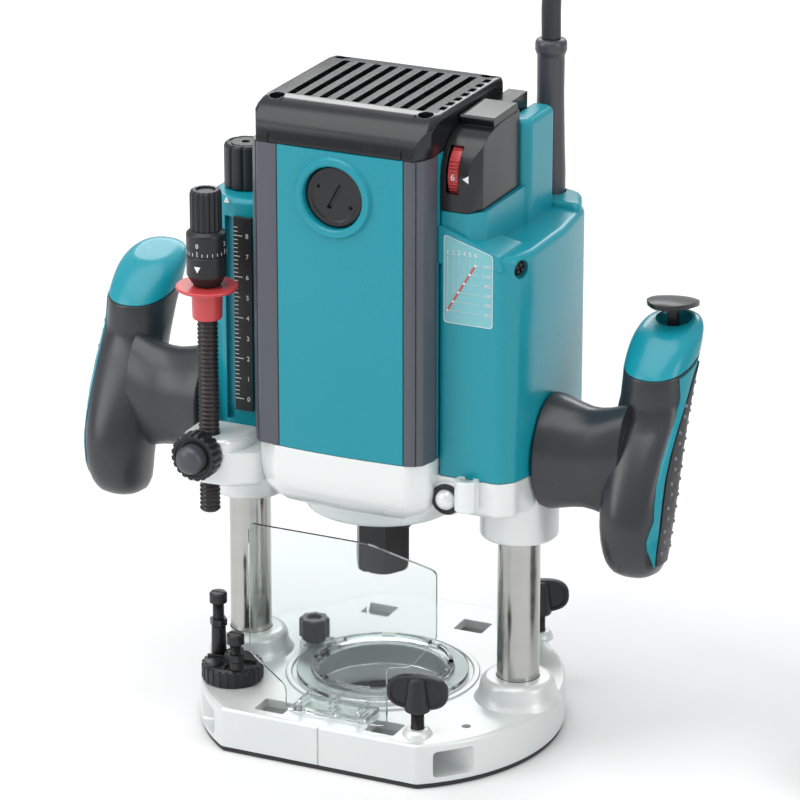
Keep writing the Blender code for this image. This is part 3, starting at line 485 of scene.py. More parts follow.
# The plug is a round rubber moulding with grip ribs, a ribbed boot and two round pins.
plug_profile = [(0, 60.0), (PLUG_RADIUS - 1.5, 60.0), (PLUG_RADIUS, 58.5), (PLUG_RADIUS, 44.0),
                (12.5, 26.0), (8.0, 22.0)]
for rib in range(5):
    ridge = 20.0 - 3.6 * rib
    plug_profile += [(8.0 - 0.35 * rib, ridge), (7.6 - 0.35 * rib, ridge - 1.2),
                     (6.2, ridge - 1.6), (6.2, ridge - 2.6)]
plug_profile += [(5.6, 1.4), (0, 1.4)]
plug_shape = turned(plug_profile, 64, 0.6)
plug_steel = finish("pin_steel", (0.62, 0.62, 0.60), (0.50, 0.50, 0.49), 0.24, 900.0, 0.01, 30.0,
                    0.1, 0.05, 0.12, 1.0)
PLUG_WAY = (Matrix.Rotation(math.radians(PLUG_TURN), 4, "Z")
            @ Matrix.Rotation(math.pi / 2, 4, "Y"))
plug_shape.transform(PLUG_WAY)
plug_piece = show("plug_body", plug_shape, cord_rubber, "base", ("plug",),
                  at=TAIL_ROUTE[-1])
plug_pins = together(*(shifted(turned([(0, 79.0), (1.4, 79.0), (2.4, 77.6), (2.4, 59.0), (0, 59.0)],
                                      32), 0, side * 9.5) for side in (-1, 1)))
plug_pins.transform(PLUG_WAY)
pins_piece = show("plug_pins", plug_pins, plug_steel, "base", at=TAIL_ROUTE[-1])

floor_mesh = bpy.data.meshes.new("floor")
floor_mesh.from_pydata([(-14, -14, 0), (14, -14, 0), (14, 14, 0), (-14, 14, 0)], [], [(0, 1, 2, 3)])
floor = bpy.data.objects.new("floor", floor_mesh)
floor.location.z = -0.0002
bpy.context.collection.objects.link(floor)
floor_mesh.materials.append(finish("floor_paint", (0.80, 0.80, 0.80), (0.77, 0.77, 0.78), 0.7,
                                   400.0, 0.01, 2.0, 1.0, 0.0, 0.05))

# ---------------------------------------------------------------- base
# Die-cast aluminium base under silver paint, on a thin black plastic sole. Its flat front edge has
# a sighting groove, and two channels run across it for the rods of the edge fence.
BASE_RADIUS = 87.0
BASE_FRONT = -71.0
BASE_REAR = 93.0
BASE_TOP = 22.0
FOOT_RADIUS = 18.0
FOOT_TOP = 33.5
POST_X = 70.0
ROD_CHANNELS = ((-66.0, -51.0), (60.0, 75.0))
ROD_Z = (5.0, 18.0)
SCREW_PLACE = (-43.0, 14.0)
TURRET = (-61.5, -37.0)
WING_PLACES = ((45.0, -58.0, 12.0), (50.0, 71.0, 30.0))
WINDOWS = ((-36, -21, 0), (21, 36, 0), (-41, -26, 1), (9, 24, 1))

cast_paint = finish("cast_paint", (0.74, 0.77, 0.76), (0.64, 0.68, 0.67), 0.36, 1300.0, 0.05,
                    10.0, 1.0, 0.10, 0.14, 0.30, 0.15, 0.5)
sole_plastic = finish("sole_plastic", (0.020, 0.020, 0.022), (0.014, 0.014, 0.015), 0.5, 700.0,
                      0.04, 20.0, 1.0, 0.15, 0.12)
black_nylon = finish("black_nylon", (0.018, 0.019, 0.021), (0.011, 0.012, 0.013), 0.36, 2200.0,
                     0.05, 16.0, 1.0, 0.09, 0.12, 0.0, 0.0, 0.4, 0.4)
blued_steel = finish("blued_steel", (0.060, 0.058, 0.060), (0.030, 0.030, 0.032), 0.34, 1100.0,
                     0.02, 40.0, 1.0, 0.10, 0.14, 0.85)
ground_steel = finish("ground_steel", (0.50, 0.50, 0.47), (0.40, 0.40, 0.38), 0.20, 500.0, 0.012,
                      26.0, 9.0, 0.02, 0.10, 1.0)


def base_outline(inset):
    """Right half by an arc and a rear lobe, then mirrored across X = 0."""
    radius = BASE_RADIUS - inset
    front = BASE_FRONT + inset
    start = math.degrees(math.asin(front / radius))
    right = ring_of(radius, 40, start, 42.0 - start)
    right += [(57.0 - inset, 66.0), (50.0 - inset, 83.0 - inset), (36.0, BASE_REAR - inset)]
    return rounded(right + [(-x, y) for x, y in reversed(right)], 5.0, 4)


base_shape = prism(base_outline(0.0), 2.3, BASE_TOP, 1.8, 0.5, 4)
feet = [shifted(turned([(0, FOOT_TOP), (FOOT_RADIUS - 3.0, FOOT_TOP), (FOOT_RADIUS - 0.6, 31.5),
                        (FOOT_RADIUS, 28.0), (FOOT_RADIUS + 0.8, 24.6), (FOOT_RADIUS + 3.2, 21.2),
                        (0, 19.0)], 72, 1.2), side * POST_X) for side in (-1, 1)]
wing_seats = [shifted(turned([(0, 25.0), (5.0, 25.0), (6.4, 23.6), (7.4, 21.0), (0, 19.0)], 40, 0.5),
                      x, y) for x, y, _ in WING_PLACES]
rim = turned([(47.0, 20.0), (46.0, 22.9), (43.4, 22.9), (42.4, 20.0)], 72, 0.4)
tools = [disc(34.0, -2.0, 30.0, 96)]
tools += [shifted(disc(10.3, 7.7, 40.0), side * POST_X) for side in (-1, 1)]
for y in ROD_CHANNELS:
    mouth = rounded([(y[0], ROD_Z[0]), (y[1], ROD_Z[0]), (y[1], ROD_Z[1]), (y[0], ROD_Z[1])], 2.0)
    tools.append(along_x(prism([(-z, y_) for y_, z in mouth], -100.0, 100.0)))
for low, high, channel in WINDOWS:
    y = ROD_CHANNELS[channel]
    hole = rounded([(low, y[0] + 0.8), (high, y[0] + 0.8), (high, y[1] - 0.8), (low, y[1] - 0.8)], 0.9)
    tools.append(prism(hole, ROD_Z[1] - 3.0, 30.0))
tools += [shifted(disc(3.3, 14.0, 30.0, 32), x, y) for x, y, _ in WING_PLACES]
tools.append(along_x(prism([(-BASE_TOP - 1.0, -74.0), (4.0, -74.0), (4.0, -70.4),
                            (-BASE_TOP - 1.0, -70.4)], -0.45, 0.45)))
tools += [shifted(disc(radius, 12.0, 30.0, 32), *place) for radius, place in (
    (2.2, (62.0, -41.0)), (2.5, SCREW_PLACE), (2.9, TURRET))]
base_shape = cut(add(base_shape, rim, *feet, *wing_seats), *tools)
show("base_body", base_shape, cast_paint, "base", ("base_casting",))

sole_shape = prism(base_outline(0.6), 0.0, 2.0, 0.3, 0.5, 2)
sole_holes = [disc(31.0, -2.0, 6.0, 96)]
sole_holes += [shifted(turned([(0, -1.0), (4.3, -1.0), (2.2, 1.4), (2.2, 4.0), (0, 4.0)], 32),
                       60.0 * c, 60.0 * s) for c, s in ring_of(1.0, 4, 45.0)]
show("sole", cut(sole_shape, *sole_holes), sole_plastic, "base", ("base_plate",))

# Two hardened and ground steel posts, pressed into the feet. The motor unit slides on them.
POST_TOP = 164.0
for side, side_name in ((-1, "left"), (1, "right")):
    post = turned([(0, 8.0), (10.0, 8.0), (10.0, POST_TOP - 1.2), (8.8, POST_TOP), (7.4, POST_TOP),
                   (7.4, 40.0), (0, 40.0)], 96)
    show(side_name + "_guide_post", post, ground_steel, "base", (side_name + "_post",),
         at=(side * POST_X, 0, 0))

# Wing bolts clamp the fence rods: a black cone on a screw, with a flat oval wing moulded across it.
for (x, y, turn), place in zip(WING_PLACES, ("front", "rear")):
    oval = [(14.4 * math.copysign(abs(c) ** 0.75, c), 8.4 * math.copysign(abs(s) ** 0.75, s))
            for c, s in ring_of(1.0, 48)]
    wing = shifted(turned_over(prism(oval, -2.2, 2.2, 1.1, 1.1), 90, "X"), 0, 0, 43.0)
    hollow = [(0.86 * a, 0.82 * b) for a, b in oval]
    wing = cut(wing, shifted(turned_over(prism(hollow, 1.5, 5.0), 90, "X"), 0, 0, 43.0),
               shifted(turned_over(prism(hollow, -5.0, -1.5), 90, "X"), 0, 0, 43.0))
    cone = turned([(0, 50.6), (3.8, 50.6), (4.6, 49.4), (6.3, 35.4), (5.9, 33.8), (0, 33.8)], 48, 0.4)
    show(place + "_wing", turned_over(add(cone, wing), turn, "Z"), black_nylon, place + "_wing",
         (place + "_wing_bolt",), at=(x, y, 0))
    thread = [(0, 34.0)]
    for pitch in range(14):
        thread += [(3.15, 33.6 - pitch), (2.6, 33.1 - pitch)]
    thread += [(0, 19.0)]
    show(place + "_wing_screw", turned(thread, 32), blued_steel, place + "_wing",
         at=(x, y, 0))

# Depth-stop turret: a black moulding that turns on its pin, with a tall and a short set bolt
# locked by hexagon nuts, a low step between them and a ribbed rim.
STOP_CIRCLE = 10.2
disc_shape = turned([(0, 36.0), (3.0, 36.0), (3.6, 35.2), (4.4, 31.0), (12.6, 31.0), (14.3, 29.4),
                     (14.3, 22.3), (2.5, 22.3), (2.5, 12.5), (0, 12.5)], 72, 0.4)
ribs = [turned_over(block((12.4, 14.75), (-0.9, 0.9), (22.8, 30.2), 0.35), 15.0 * k, "Z")
        for k in range(24)]
low_turn = math.radians(231.0)
step = shifted(turned([(0, 32.4), (3.4, 32.4), (4.2, 31.6), (4.2, 30.0), (0, 30.0)], 32, 0.2),
               STOP_CIRCLE * math.cos(low_turn), STOP_CIRCLE * math.sin(low_turn))
spokes = [turned_over(block((3.8, 12.6), (-0.8, 0.8), (30.6, 32.6), 0.3), angle, "Z")
          for angle in (96.0, 186.0, 276.0, 6.0)]
slot_cut = block((-3.0, 3.0), (-0.5, 0.5), (34.8, 40.0), 0)
show("turret_body", cut(add(disc_shape, step, *ribs, *spokes), slot_cut), black_nylon, "turret",
     ("stop_turret",), at=(*TURRET, 0))
for name, angle, nut_top, head in (("tall_stop", 156.0, 49.5, 62.8), ("short_stop", 306.0, 38.8, 49.0)):
    turn = math.radians(angle)
    screw = [(0, head), (3.6, head), (4.2, head - 0.7), (4.2, head - 5.0), (2.6, head - 5.3)]
    level = head - 5.6
    while level > nut_top + 0.4:
        screw += [(2.75, level), (2.3, level - 0.4)]
        level -= 0.8
    screw += [(2.4, nut_top), (2.2, 25.2), (0, 25.2)]
    screw_shape = cut(turned(screw, 40), block((-5.0, 5.0), (-0.45, 0.45), (head - 1.4, head + 2), 0))
    nuts = [prism(ring_of(4.25, 6, 12.0), nut_top - 3.6, nut_top, 0.35, 0.35, 2),
            turned([(0, nut_top - 3.9), (3.4, nut_top - 3.9), (3.7, 31.4), (0, 31.4)], 32)]
    show(name + "_screw", together(screw_shape, *nuts), blued_steel, "turret",
         (name + "_bolt",), at=(TURRET[0] + STOP_CIRCLE * math.cos(turn),
                                TURRET[1] + STOP_CIRCLE * math.sin(turn), 0))


def facing(outline, near, far):
    """A prism on an (x, z) outline that runs along Y."""
    return along_y(prism([(x, -z) for x, z in outline], near, far))


# Chip shield and dust ring: clear polycarbonate. The shield's foot is held under the front rim;
# the ring sits in the base's opening with tabs round its inside and a thumb screw to hold it.
clear_sheet = finish("clear_sheet", (0.87, 0.91, 0.905), (0.84, 0.89, 0.885), 0.05, 90.0, 0.01, 12.0,
                     1.0, 0.05, 0.06, 0.0, 0.0, 0.25)
preset(clear_sheet.node_tree.nodes["Principled BSDF"], {"Transmission Weight": 1.0, "IOR": 1.32})
SHIELD_Y = -60.0
SHIELD_THICK = 1.6
plan = [(-41.0, SHIELD_Y)] + rounded([(20.0, SHIELD_Y), (21.5, SHIELD_Y), (52.0, -52.5)], 3.0, 4,
                                     False) + [(51.6, -50.9)]
plan += rounded([(21.1, SHIELD_Y + SHIELD_THICK), (20.0, SHIELD_Y + SHIELD_THICK)], 1.0, 2, False)
plan += [(-41.0, SHIELD_Y + SHIELD_THICK)]
shield = prism(plan, 22.3, 113.0)
outside = rounded([(-40.6, 48.0), (-22.0, 34.0), (-22.0, 22.4), (29.0, 22.4), (29.0, 52.0),
                   (40.0, 53.0), (51.7, 68.0), (51.7, 101.6), (21.0, 112.7), (-40.6, 112.7)], 3.0, 4)
blank = facing([(-60, 10), (70, 10), (70, 130), (-60, 130)], -72.0, -40.0)
shield = cut(shield, cut(blank, facing(outside, -80.0, -30.0)))
foot = block((-19.0, 19.0), (SHIELD_Y + 0.5, -44.0), (22.4, 25.0), 0.5)
ribs = [block((x - 0.8, x + 0.8), (SHIELD_Y + 1.0, -47.0), (24.8, 28.5), 0.3) for x in (-15, 0, 15)]
show("chip_shield", add(shield, foot, *ribs), clear_sheet, "base",
     ("chip_deflector",))

ring = turned([(41.0, 24.6), (41.0, 22.4), (33.4, 22.4), (33.4, 12.0), (31.4, 12.0), (29.8, 24.6),
               (31.5, 28.0), (33.4, 28.0), (33.9, 24.6)], 96, 0.4)
ear = prism(rounded([(-34.0, 4.0), (-46.0, 5.0), (-51.2, 14.0), (-46.0, 22.0), (-33.0, 22.0)], 5.0, 5),
            22.4, 24.6, 0.4)
ring = add(ring, ear)
notches = [turned_over(block((27.0, 36.0), (-3.2, 3.2), (26.2, 30.0), 0), 45.0 * k + 20.0, "Z")
           for k in range(8)]
notches.append(shifted(disc(2.6, 20.0, 30.0, 32), *SCREW_PLACE))
show("dust_ring", cut(ring, *notches), clear_sheet, "base", ("dust_nozzle",))


def fluted_ring(radius, depth, flutes, sharp=2):
    """A round outline with soft flutes in it."""
    made = []
    for i in range(flutes * 12):
        turn = math.tau * i / (flutes * 12)
        reach = radius - depth * (0.5 + 0.5 * math.cos(flutes * turn)) ** sharp
        made.append((reach * math.cos(turn), reach * math.sin(turn)))
    return made


screw_head = add(prism(fluted_ring(7.4, 0.8, 8, 1), 27.0, 37.0, 1.2, 0.4), disc(5.0, 25.1, 28.0),
                 disc(2.2, 12.5, 27.0, 32))
show("thumb_screw", cut(screw_head, disc(3.6, 35.6, 39.0)), black_nylon, "nozzle_screw",
     ("nozzle_thumb_screw",), at=(*SCREW_PLACE, 0))

# ---------------------------------------------------------------- motor bracket
# Painted aluminium casting that carries the motor. A bowl runs down from the barrel to the
# spindle nose, with a sleeve for each post and an arm at the left for the depth pole.
BARREL_FRONT = -50.5
BARREL_REAR = 48.0
BARREL_SIDE = 44.0
BARREL_LOW = 150.0
BARREL_TOP = 294.7
COVER_LOW = 142.0
FRONT_BOW = 1.5
POLE = (-67.92, -44.93)
LOCK_PLACE = (49.5, -35.0, 131.5)
FRONT_BOSS = (60.0, -37.4)
RIGHT_COVER = [(44.3, -35.0), (74.0, -35.0), (80.5, -29.0), (83.5, -16.0), (83.5, 20.0),
               (79.0, 52.0), (71.0, 65.0), (62.0, 69.0), (44.3, 69.0)]
LEFT_COVER = [(-44.3, 20.0), (-72.0, 20.0), (-80.0, 14.0), (-84.0, 5.0), (-84.0, -5.0),
              (-80.0, -14.0), (-73.0, -19.0), (-66.0, -20.0), (-56.0, -20.0), (-44.3, -14.0)]
silver_paint = finish("silver_paint", (0.80, 0.83, 0.82), (0.72, 0.76, 0.75), 0.30, 1300.0, 0.05,
                      9.0, 1.0, 0.08, 0.14, 0.25, 0.2, 0.6)


def barrel(scale=1.0, bow=FRONT_BOW):
    """The barrel's footprint: flat sides, cut corners and a slightly bowed front."""
    front = []
    for i in range(13):
        across = i / 6 - 1
        front.append((2.0 + 34.0 * across, BARREL_FRONT - bow * (1 - across ** 2)))
    rest = [(BARREL_SIDE, -41.0), (BARREL_SIDE, 36.0), (33.0, BARREL_REAR), (-33.0, BARREL_REAR),
            (-BARREL_SIDE, 36.0), (-BARREL_SIDE, -41.0)]
    return [(x * scale, y * scale) for x, y in rounded(front + rest, 3.5, 3)]


bowl = lofted([[(x, y, z) for x, y in barrel(s)] for s, z in (
    (0.74, 118.6), (0.80, 119.6), (0.87, 121.4), (0.93, 124.2), (0.97, 128.0), (0.99, 133.0),
    (1.0, 138.0), (1.0, 149.7))])
right_lobe = RIGHT_COVER[:5] + [(80.0, 44.0), (60.0, 48.0), (40.0, 44.0), (40.0, -35.0)]
left_lobe = [(-40.0, 20.0)] + LEFT_COVER[1:9] + [(-40.0, -20.0)]
ARM = [(-42.0, -16.0), (-80.0, -16.0), (-80.0, -48.0), (-76.0, -53.0), (-56.0, -53.0), (-42.0, -44.0)]
ARM_HEAD = [(-80.0, -27.0), (-80.0, -48.0), (-76.0, -53.0), (-56.0, -53.0), (-50.0, -40.0),
            (-50.0, -27.0)]
bracket_parts = [
    prism(right_lobe, 124.0, 141.7, 0.4, 3.0, 3, 4.0), prism(left_lobe, 122.0, 141.7, 0.4, 3.0, 3, 4.0),
    prism(ARM, 125.0, 141.7, 0.4, 2.5, 3, 4.0), prism(ARM_HEAD, 136.0, 148.0, 2.2, 0, 3, 4.0),
    turned([(0, 127.0), (31.6, 127.0), (32.0, 121.8), (35.6, 121.2), (36.6, 120.4), (36.6, 118.5),
            (0, 118.5)], 96, 0.4),
    shifted(disc(5.7, 128.0, 143.2, 40, 0.8, 0.8), *FRONT_BOSS),
    shifted(along_y(disc(8.2, -1.6, 12.0, 48, 0.0, 0.8)), *LOCK_PLACE)]
for side in (-1, 1):
    bracket_parts.append(shifted(disc(18.5, 105.0, 139.0, 96, 0, 1.6), side * POST_X))
    bracket_parts.append(shifted(disc(12.0, 137.0, 240.0, 64), side * POST_X))
for angle in (50.0, 130.0, 230.0, 310.0):
    boss = turned([(0, 125.0), (4.4, 125.0), (4.4, 121.4), (3.4, 119.4), (0, 119.4)], 32, 0.3)
    bracket_parts.append(shifted(boss, 32.4 * math.cos(math.radians(angle)),
                                 32.4 * math.sin(math.radians(angle))))
bracket_cuts = [shifted(turned([(0, 237.0), (10.3, 237.0), (10.3, 135.0), (12.6, 135.0),
                                (12.6, 101.0), (0, 101.0)], 64), side * POST_X) for side in (-1, 1)]
bracket_cuts += [
    turned([(0, 160.0), (27.0, 160.0), (27.0, 138.0), (20.3, 138.0), (20.3, 121.0), (14.0, 121.0),
            (14.0, 100.0), (0, 100.0)], 72),
    shifted(disc(5.15, 100.0, 160.0, 40), *POLE), shifted(disc(15.0, 100.0, 134.5, 64), *TURRET),
    shifted(along_y(disc(5.2, -6.0, 10.0, 48)), *LOCK_PLACE),
    shifted(disc(3.1, 138.0, 150.0, 32), *FRONT_BOSS)]
bracket_shape = cut(add(bowl, *bracket_parts), *bracket_cuts)
show("motor_bracket", bracket_shape, silver_paint, "motor_unit", ("bracket_casting",))

# Bearing flange under the bracket: a machined ring held by four socket screws.
FLANGE_BOLTS = ring_of(32.0, 4, 45.0)
flange_shape = turned([(37.0, 118.2), (37.0, 112.0), (36.4, 110.8), (34.8, 109.8), (22.0, 109.5),
                       (21.0, 110.8), (15.6, 110.8), (14.5, 109.7), (14.5, 118.2)], 96, 0.3)
flange_holes = [shifted(disc(2.6, 107.0, 112.0, 32), *place) for place in FLANGE_BOLTS]
show("spindle_flange", cut(flange_shape, *flange_holes), silver_paint, "motor_unit",
     ("bearing_flange",))
flange_screws = [shifted(cut(turned([(0, 108.5), (1.9, 108.5), (2.4, 109.0), (2.4, 111.8), (0, 111.8)],
                                    32), prism(ring_of(1.2, 6), 106.0, 110.0)), *place)
                 for place in FLANGE_BOLTS]
show("flange_screws", together(*flange_screws), blued_steel, "motor_unit")

# Shaft lock: a cast button with a domed end in a black rubber ring.
lock_shape = along_y(turned([(0, -6.2), (2.2, -6.0), (3.9, -5.0), (4.9, -3.2), (4.9, 6.0), (0, 6.0)],
                            48, 0.6))
show("shaft_lock", lock_shape, silver_paint, "lock_button",
     ("shaft_lock_button",), at=LOCK_PLACE)
lock_seal = along_y(turned([(7.3, -1.5), (7.3, -2.6), (6.6, -3.0), (5.1, -2.6), (5.1, -1.5)], 48))
show("lock_seal", lock_seal, black_nylon, "motor_unit", at=LOCK_PLACE)

# ---------------------------------------------------------------- spindle
# Ground shaft with the collet cone in its nose and a black hexagon nut that closes it. Four slits
# let the cone close, and a groove round the nut marks its grip.
nut_hex = prism(ring_of(13.6, 6), 77.0, 104.5)
nut_ease = turned([(0, 104.5), (12.0, 104.5), (13.7, 102.8), (13.7, 81.0), (12.4, 77.0), (0, 77.0)], 96)
nut_ease_out = cut(disc(20.0, 70.0, 110.0), nut_ease)
nut_shape = cut(nut_hex, nut_ease_out, turned([(0, 105.5), (8.9, 105.5), (8.7, 79.2), (6.6, 74.0),
                                               (0, 74.0)], 64))
show("collet_hex_nut", nut_shape, blued_steel, "collet_nut_body", ("collet_nut",))
slits = [turned_over(block((4.0, 9.0), (-0.35, 0.35), (70.0, 92.0), 0), 45.0 * k, "Z")
         for k in range(8)]
cone_shape = cut(turned([(6.4, 104.0), (6.4, 86.0), (7.9, 81.0), (7.9, 78.6), (6.9, 77.3),
                         (5.9, 77.3), (5.9, 104.0)], 64), *slits)
show("collet_sleeve", cone_shape, ground_steel, "spindle", ("collet_cone",))

# ---------------------------------------------------------------- barrel
# Teal moulded barrel with a bowed front and a round brush bezel. Two dark rubber strips with a
# raised line guard its front corners.
teal = finish("teal_moulding", (0.010, 0.295, 0.365), (0.006, 0.240, 0.310), 0.28, 1500.0, 0.04,
              8.0, 1.0, 0.05, 0.12, 0.0, 0.12, 0.5, 0.32)
strip_rubber = finish("strip_rubber", (0.085, 0.092, 0.112), (0.060, 0.065, 0.080), 0.34, 2600.0,
                      0.05, 20.0, 1.0, 0.08, 0.12)
BRUSH_Z = 273.4
STRIP_EDGES = ((-1, -28.8, "left"), (1, 34.2, "right"))
barrel_shape = prism(barrel(), BARREL_LOW, BARREL_TOP)
bezel = [(14.8, -0.6), (14.8, 2.2), (15.6, 3.0), (18.2, 3.0), (19.0, 1.6), (19.2, -0.6)]
bezels = [shifted(along_y(turned([(r, -y) for r, y in bezel], 96)), 0, BARREL_FRONT, BRUSH_Z),
          shifted(along_y(turned(bezel, 96)), 0, BARREL_REAR - 1.5, BRUSH_Z)]
barrel_cuts = [turned([(0, 300.0), (11.4, 300.0), (11.4, 284.3), (36.0, 284.3), (36.0, 140.0),
                       (0, 140.0)], 72)]
for side, edge, _ in STRIP_EDGES:
    corner = [(edge - side * 0.3, -60.0), (edge - side * 0.3, -47.4), (side * 37.0, -47.4),
              (side * 41.2, -38.0), (side * 41.2, -34.7), (side * 60.0, -34.7), (side * 60.0, -60.0)]
    barrel_cuts.append(prism(corner, 140.0, 300.0))
for face in (BARREL_FRONT, BARREL_REAR):
    barrel_cuts.append(shifted(along_y(disc(14.8, -4.0, 4.0, 96)), 0, face, BRUSH_Z))
    way = math.copysign(1.0, face)
    barrel_cuts.append(block((-4.0, 4.0), sorted((way * 20.0, face)), (BRUSH_Z - 7, BRUSH_Z + 7), 0))
rear_slots = [block((x - 1.2, x + 1.2), (44.0, 50.0), (176.0, 214.0), 0.4)
              for x in (-21.0, -14.0, -7.0, 0.0, 7.0, 14.0, 21.0)]
barrel_shape = cut(add(barrel_shape, *bezels), *barrel_cuts, *rear_slots)
show("motor_barrel", barrel_shape, teal, "motor_unit", ("motor_housing",))
for side, edge, side_name in STRIP_EDGES:
    plan = [(edge, BARREL_FRONT - 0.5), (side * 38.6, BARREL_FRONT), (side * 42.5, -47.5),
            (side * BARREL_SIDE, -41.0), (side * BARREL_SIDE, -35.3), (side * 41.5, -35.3),
            (side * 41.5, -38.0), (side * 37.2, -47.7), (edge, -47.7)]
    strip = prism(rounded(plan, 0.9, 2), BARREL_LOW, BARREL_TOP, 0.3, 0.3, 2)
    seam = block(sorted((side * 39.6, side * 40.1)), (-54.0, -48.9), (140.0, 300.0), 0)
    show(side_name + "_guard_strip", cut(strip, seam), strip_rubber, "motor_unit",
         (side_name + "_corner_strip",))

# Brush caps: round black screws with a slot and two pin holes, front and rear.
black_gloss = finish("black_gloss", (0.012, 0.013, 0.015), (0.008, 0.009, 0.010), 0.20, 1900.0,
                     0.03, 12.0, 1.0, 0.07, 0.10, 0.0, 0.0, 0.5, 0.42)
for way, face, place in ((-1, BARREL_FRONT, "front"), (1, BARREL_REAR, "rear")):
    cap_shape = turned([(0, -3.6), (14.4, -3.6), (14.4, -0.9), (13.6, -0.2), (11.6, -0.2),
                        (11.2, -0.6), (0, -0.5)], 96, 0.2)
    slot_tool = turned_over(block((-6.5, 6.5), (-1.0, 1.0), (-2.0, 3.0), 0), 62.0, "Z")
    pins = [turned_over(shifted(disc(0.9, -1.6, 2.0, 24), 9.0), angle, "Z") for angle in (-28, 152)]
    cap_shape = cut(cap_shape, slot_tool, *pins)
    turned_over(cap_shape, -90 * way, "X")
    show(place + "_brush_screw", cap_shape, black_gloss, "motor_unit",
         (place + "_brush_cap",), at=(0, face, BRUSH_Z))

# ---------------------------------------------------------------- top cap
# Glossy black moulding that rolls over at the front. Its roof has a grid of air slots with low
# bars across them, and a screw in a recess at each corner.
CAP_SIDE = [(BARREL_FRONT, 288.0), (BARREL_FRONT, 297.0), (-49.6, 300.6), (-47.4, 304.2),
            (-44.0, 307.6), (-40.0, 310.2), (-35.0, 311.7), (-30.0, 312.2), (32.0, 312.2),
            (38.0, 311.4), (43.0, 308.8), (46.6, 305.0), (BARREL_REAR, 301.0), (BARREL_REAR, 288.0)]
CAP_SCREWS = [(-37.0, -33.0), (37.0, -33.0), (-37.0, 35.0), (37.0, 35.0)]


def across_x(outline, low, high, ease=0.0):
    """A prism on a (y, z) outline that runs along X."""
    shape = prism(outline, low, high, ease, ease, 4)
    shape.transform(Matrix(((0, 0, 1, 0), (1, 0, 0, 0), (0, 1, 0, 0), (0, 0, 0, 1))))
    return shape


roof = across_x(CAP_SIDE, -BARREL_SIDE, BARREL_SIDE, 3.0)
roof_cuts = [disc(37.0, 280.0, 306.0, 72), block((-60, 60), (-70, 70), (280.0, 295.0), 0)]
for side in (-1, 1):
    for near, far, step_in in ((-41.0, BARREL_FRONT, 39.0), (36.0, BARREL_REAR, 33.0)):
        way = math.copysign(30.0, near)
        corner = [(side * BARREL_SIDE, near), (side * 60.0, near), (side * 60.0, far + way),
                  (side * step_in, far + way), (side * step_in, far)]
        roof_cuts.append(prism(corner, 290.0, 320.0))
    roof_cuts.append(block((side * 33.0 - 0.3, side * 33.0 + 0.3), (-52.0, -49.7), (290.0, 302.0), 0))
    roof_cuts.append(block((side * 33.0 - 0.3, side * 33.0 + 0.3), (-50.0, -34.0), (310.9, 316.0), 0))
roof_cuts += [block((x - 1.9, x + 1.9), (-29.0, 30.0), (300.0, 320.0), 0.8)
              for x in range(-32, 33, 8)]
roof_cuts += [block((38.6, 41.6), (y, y + 5.0), (309.6, 320.0), 0.3) for y in range(-24, 26, 8)]
roof_cuts += [shifted(disc(3.6, 304.0, 320.0, 40), x, y) for x, y in CAP_SCREWS]
roof = cut(roof, *roof_cuts)
bars = [block((-34.0, 34.0), (y - 1.3, y + 1.3), (306.4, 309.4), 0.5) for y in (-14.5, 0.5, 15.5)]
show("top_cover", add(roof, *bars), black_gloss, "motor_unit", ("top_cap",))


def cross_screw(radius, height):
    """A round screw head with a cross recess; its underside is at zero."""
    head = turned([(0, height), (radius * 0.6, height * 0.95), (radius, height * 0.45), (radius, 0),
                   (0, 0)], 32, 0.2)
    return cut(head, *(turned_over(block((-0.65 * radius, 0.65 * radius), (-0.14 * radius,
                       0.14 * radius), (height * 0.4, height + 2), 0), a, "Z") for a in (20, 110)))


cap_screws = [shifted(cross_screw(3.2, 2.2), x, y, 304.1) for x, y in CAP_SCREWS]
show("cap_screws", together(*cap_screws), blued_steel, "motor_unit")

# ---------------------------------------------------------------- switch side cover
# Teal moulding over the switch, the speed circuit and the cord's entry, with a step for the dial
# and a pillar behind it. Screws in deep recesses hold it to the barrel.
COVER_TOP = 250.0
GUARD = (57.5, 60.0)
cover_parts = [
    lofted([[(x, -35.0, z) for x, z in ((44.3, 244.0), (44.3, 261.6), (58.0, 257.0), (74.0, 250.6),
                                        (76.0, 244.0))],
            [(x, -10.0, z) for x, z in ((44.3, 244.0), (44.3, 258.0), (58.0, 254.0), (74.0, 250.6),
                                        (80.0, 244.0))]]),
    prism([(44.3, -33.0), (58.0, -33.0), (64.0, -26.0), (64.0, 30.0), (44.3, 30.0)], 240.0, 268.1, 0,
          0, 3, 1.2),
    prism([(54.0, 18.0), (62.0, 16.0), (66.0, 19.0), (66.0, 44.0), (63.0, 47.0), (54.0, 47.0)], 240.0,
          299.0, 3.0, 0, 4, 1.6),
    prism([(46.0, 46.0), (80.4, 44.0), (72.6, 64.2), (62.0, 68.4), (46.0, 68.4)], 240.0, 253.0, 3.0, 0,
          3, 5.0)]
CAVITY = [(40.0, -31.0), (72.6, -31.0), (77.4, -26.6), (80.2, -15.4), (80.2, 20.0), (76.4, 44.0),
          (40.0, 44.0)]
SEAMS = [(64.0, 69.3), (83.9, 14.0)]
cover_cuts = [
    prism(CAVITY, 145.0, 244.0),
    block((40.0, 68.0), (40.0, 65.0), (145.0, 244.0), 0),
    shifted(disc(12.3, 138.0, 243.5, 64), POST_X), shifted(disc(5.8, 235.0, 260.0, 40), *GUARD),
    shifted(disc(8.0, 247.2, 270.0, 48), *GUARD), block((40.0, 58.0), (-20.0, 12.0), (239.0, 280.0), 0)]
SCREW_TURN = 58.0
recess = turned_over(along_y(disc(4.4, -12.0, 1.6, 48)), SCREW_TURN, "Z")
cover_cuts.append(shifted(recess, 79.8, -25.0, 243.4))
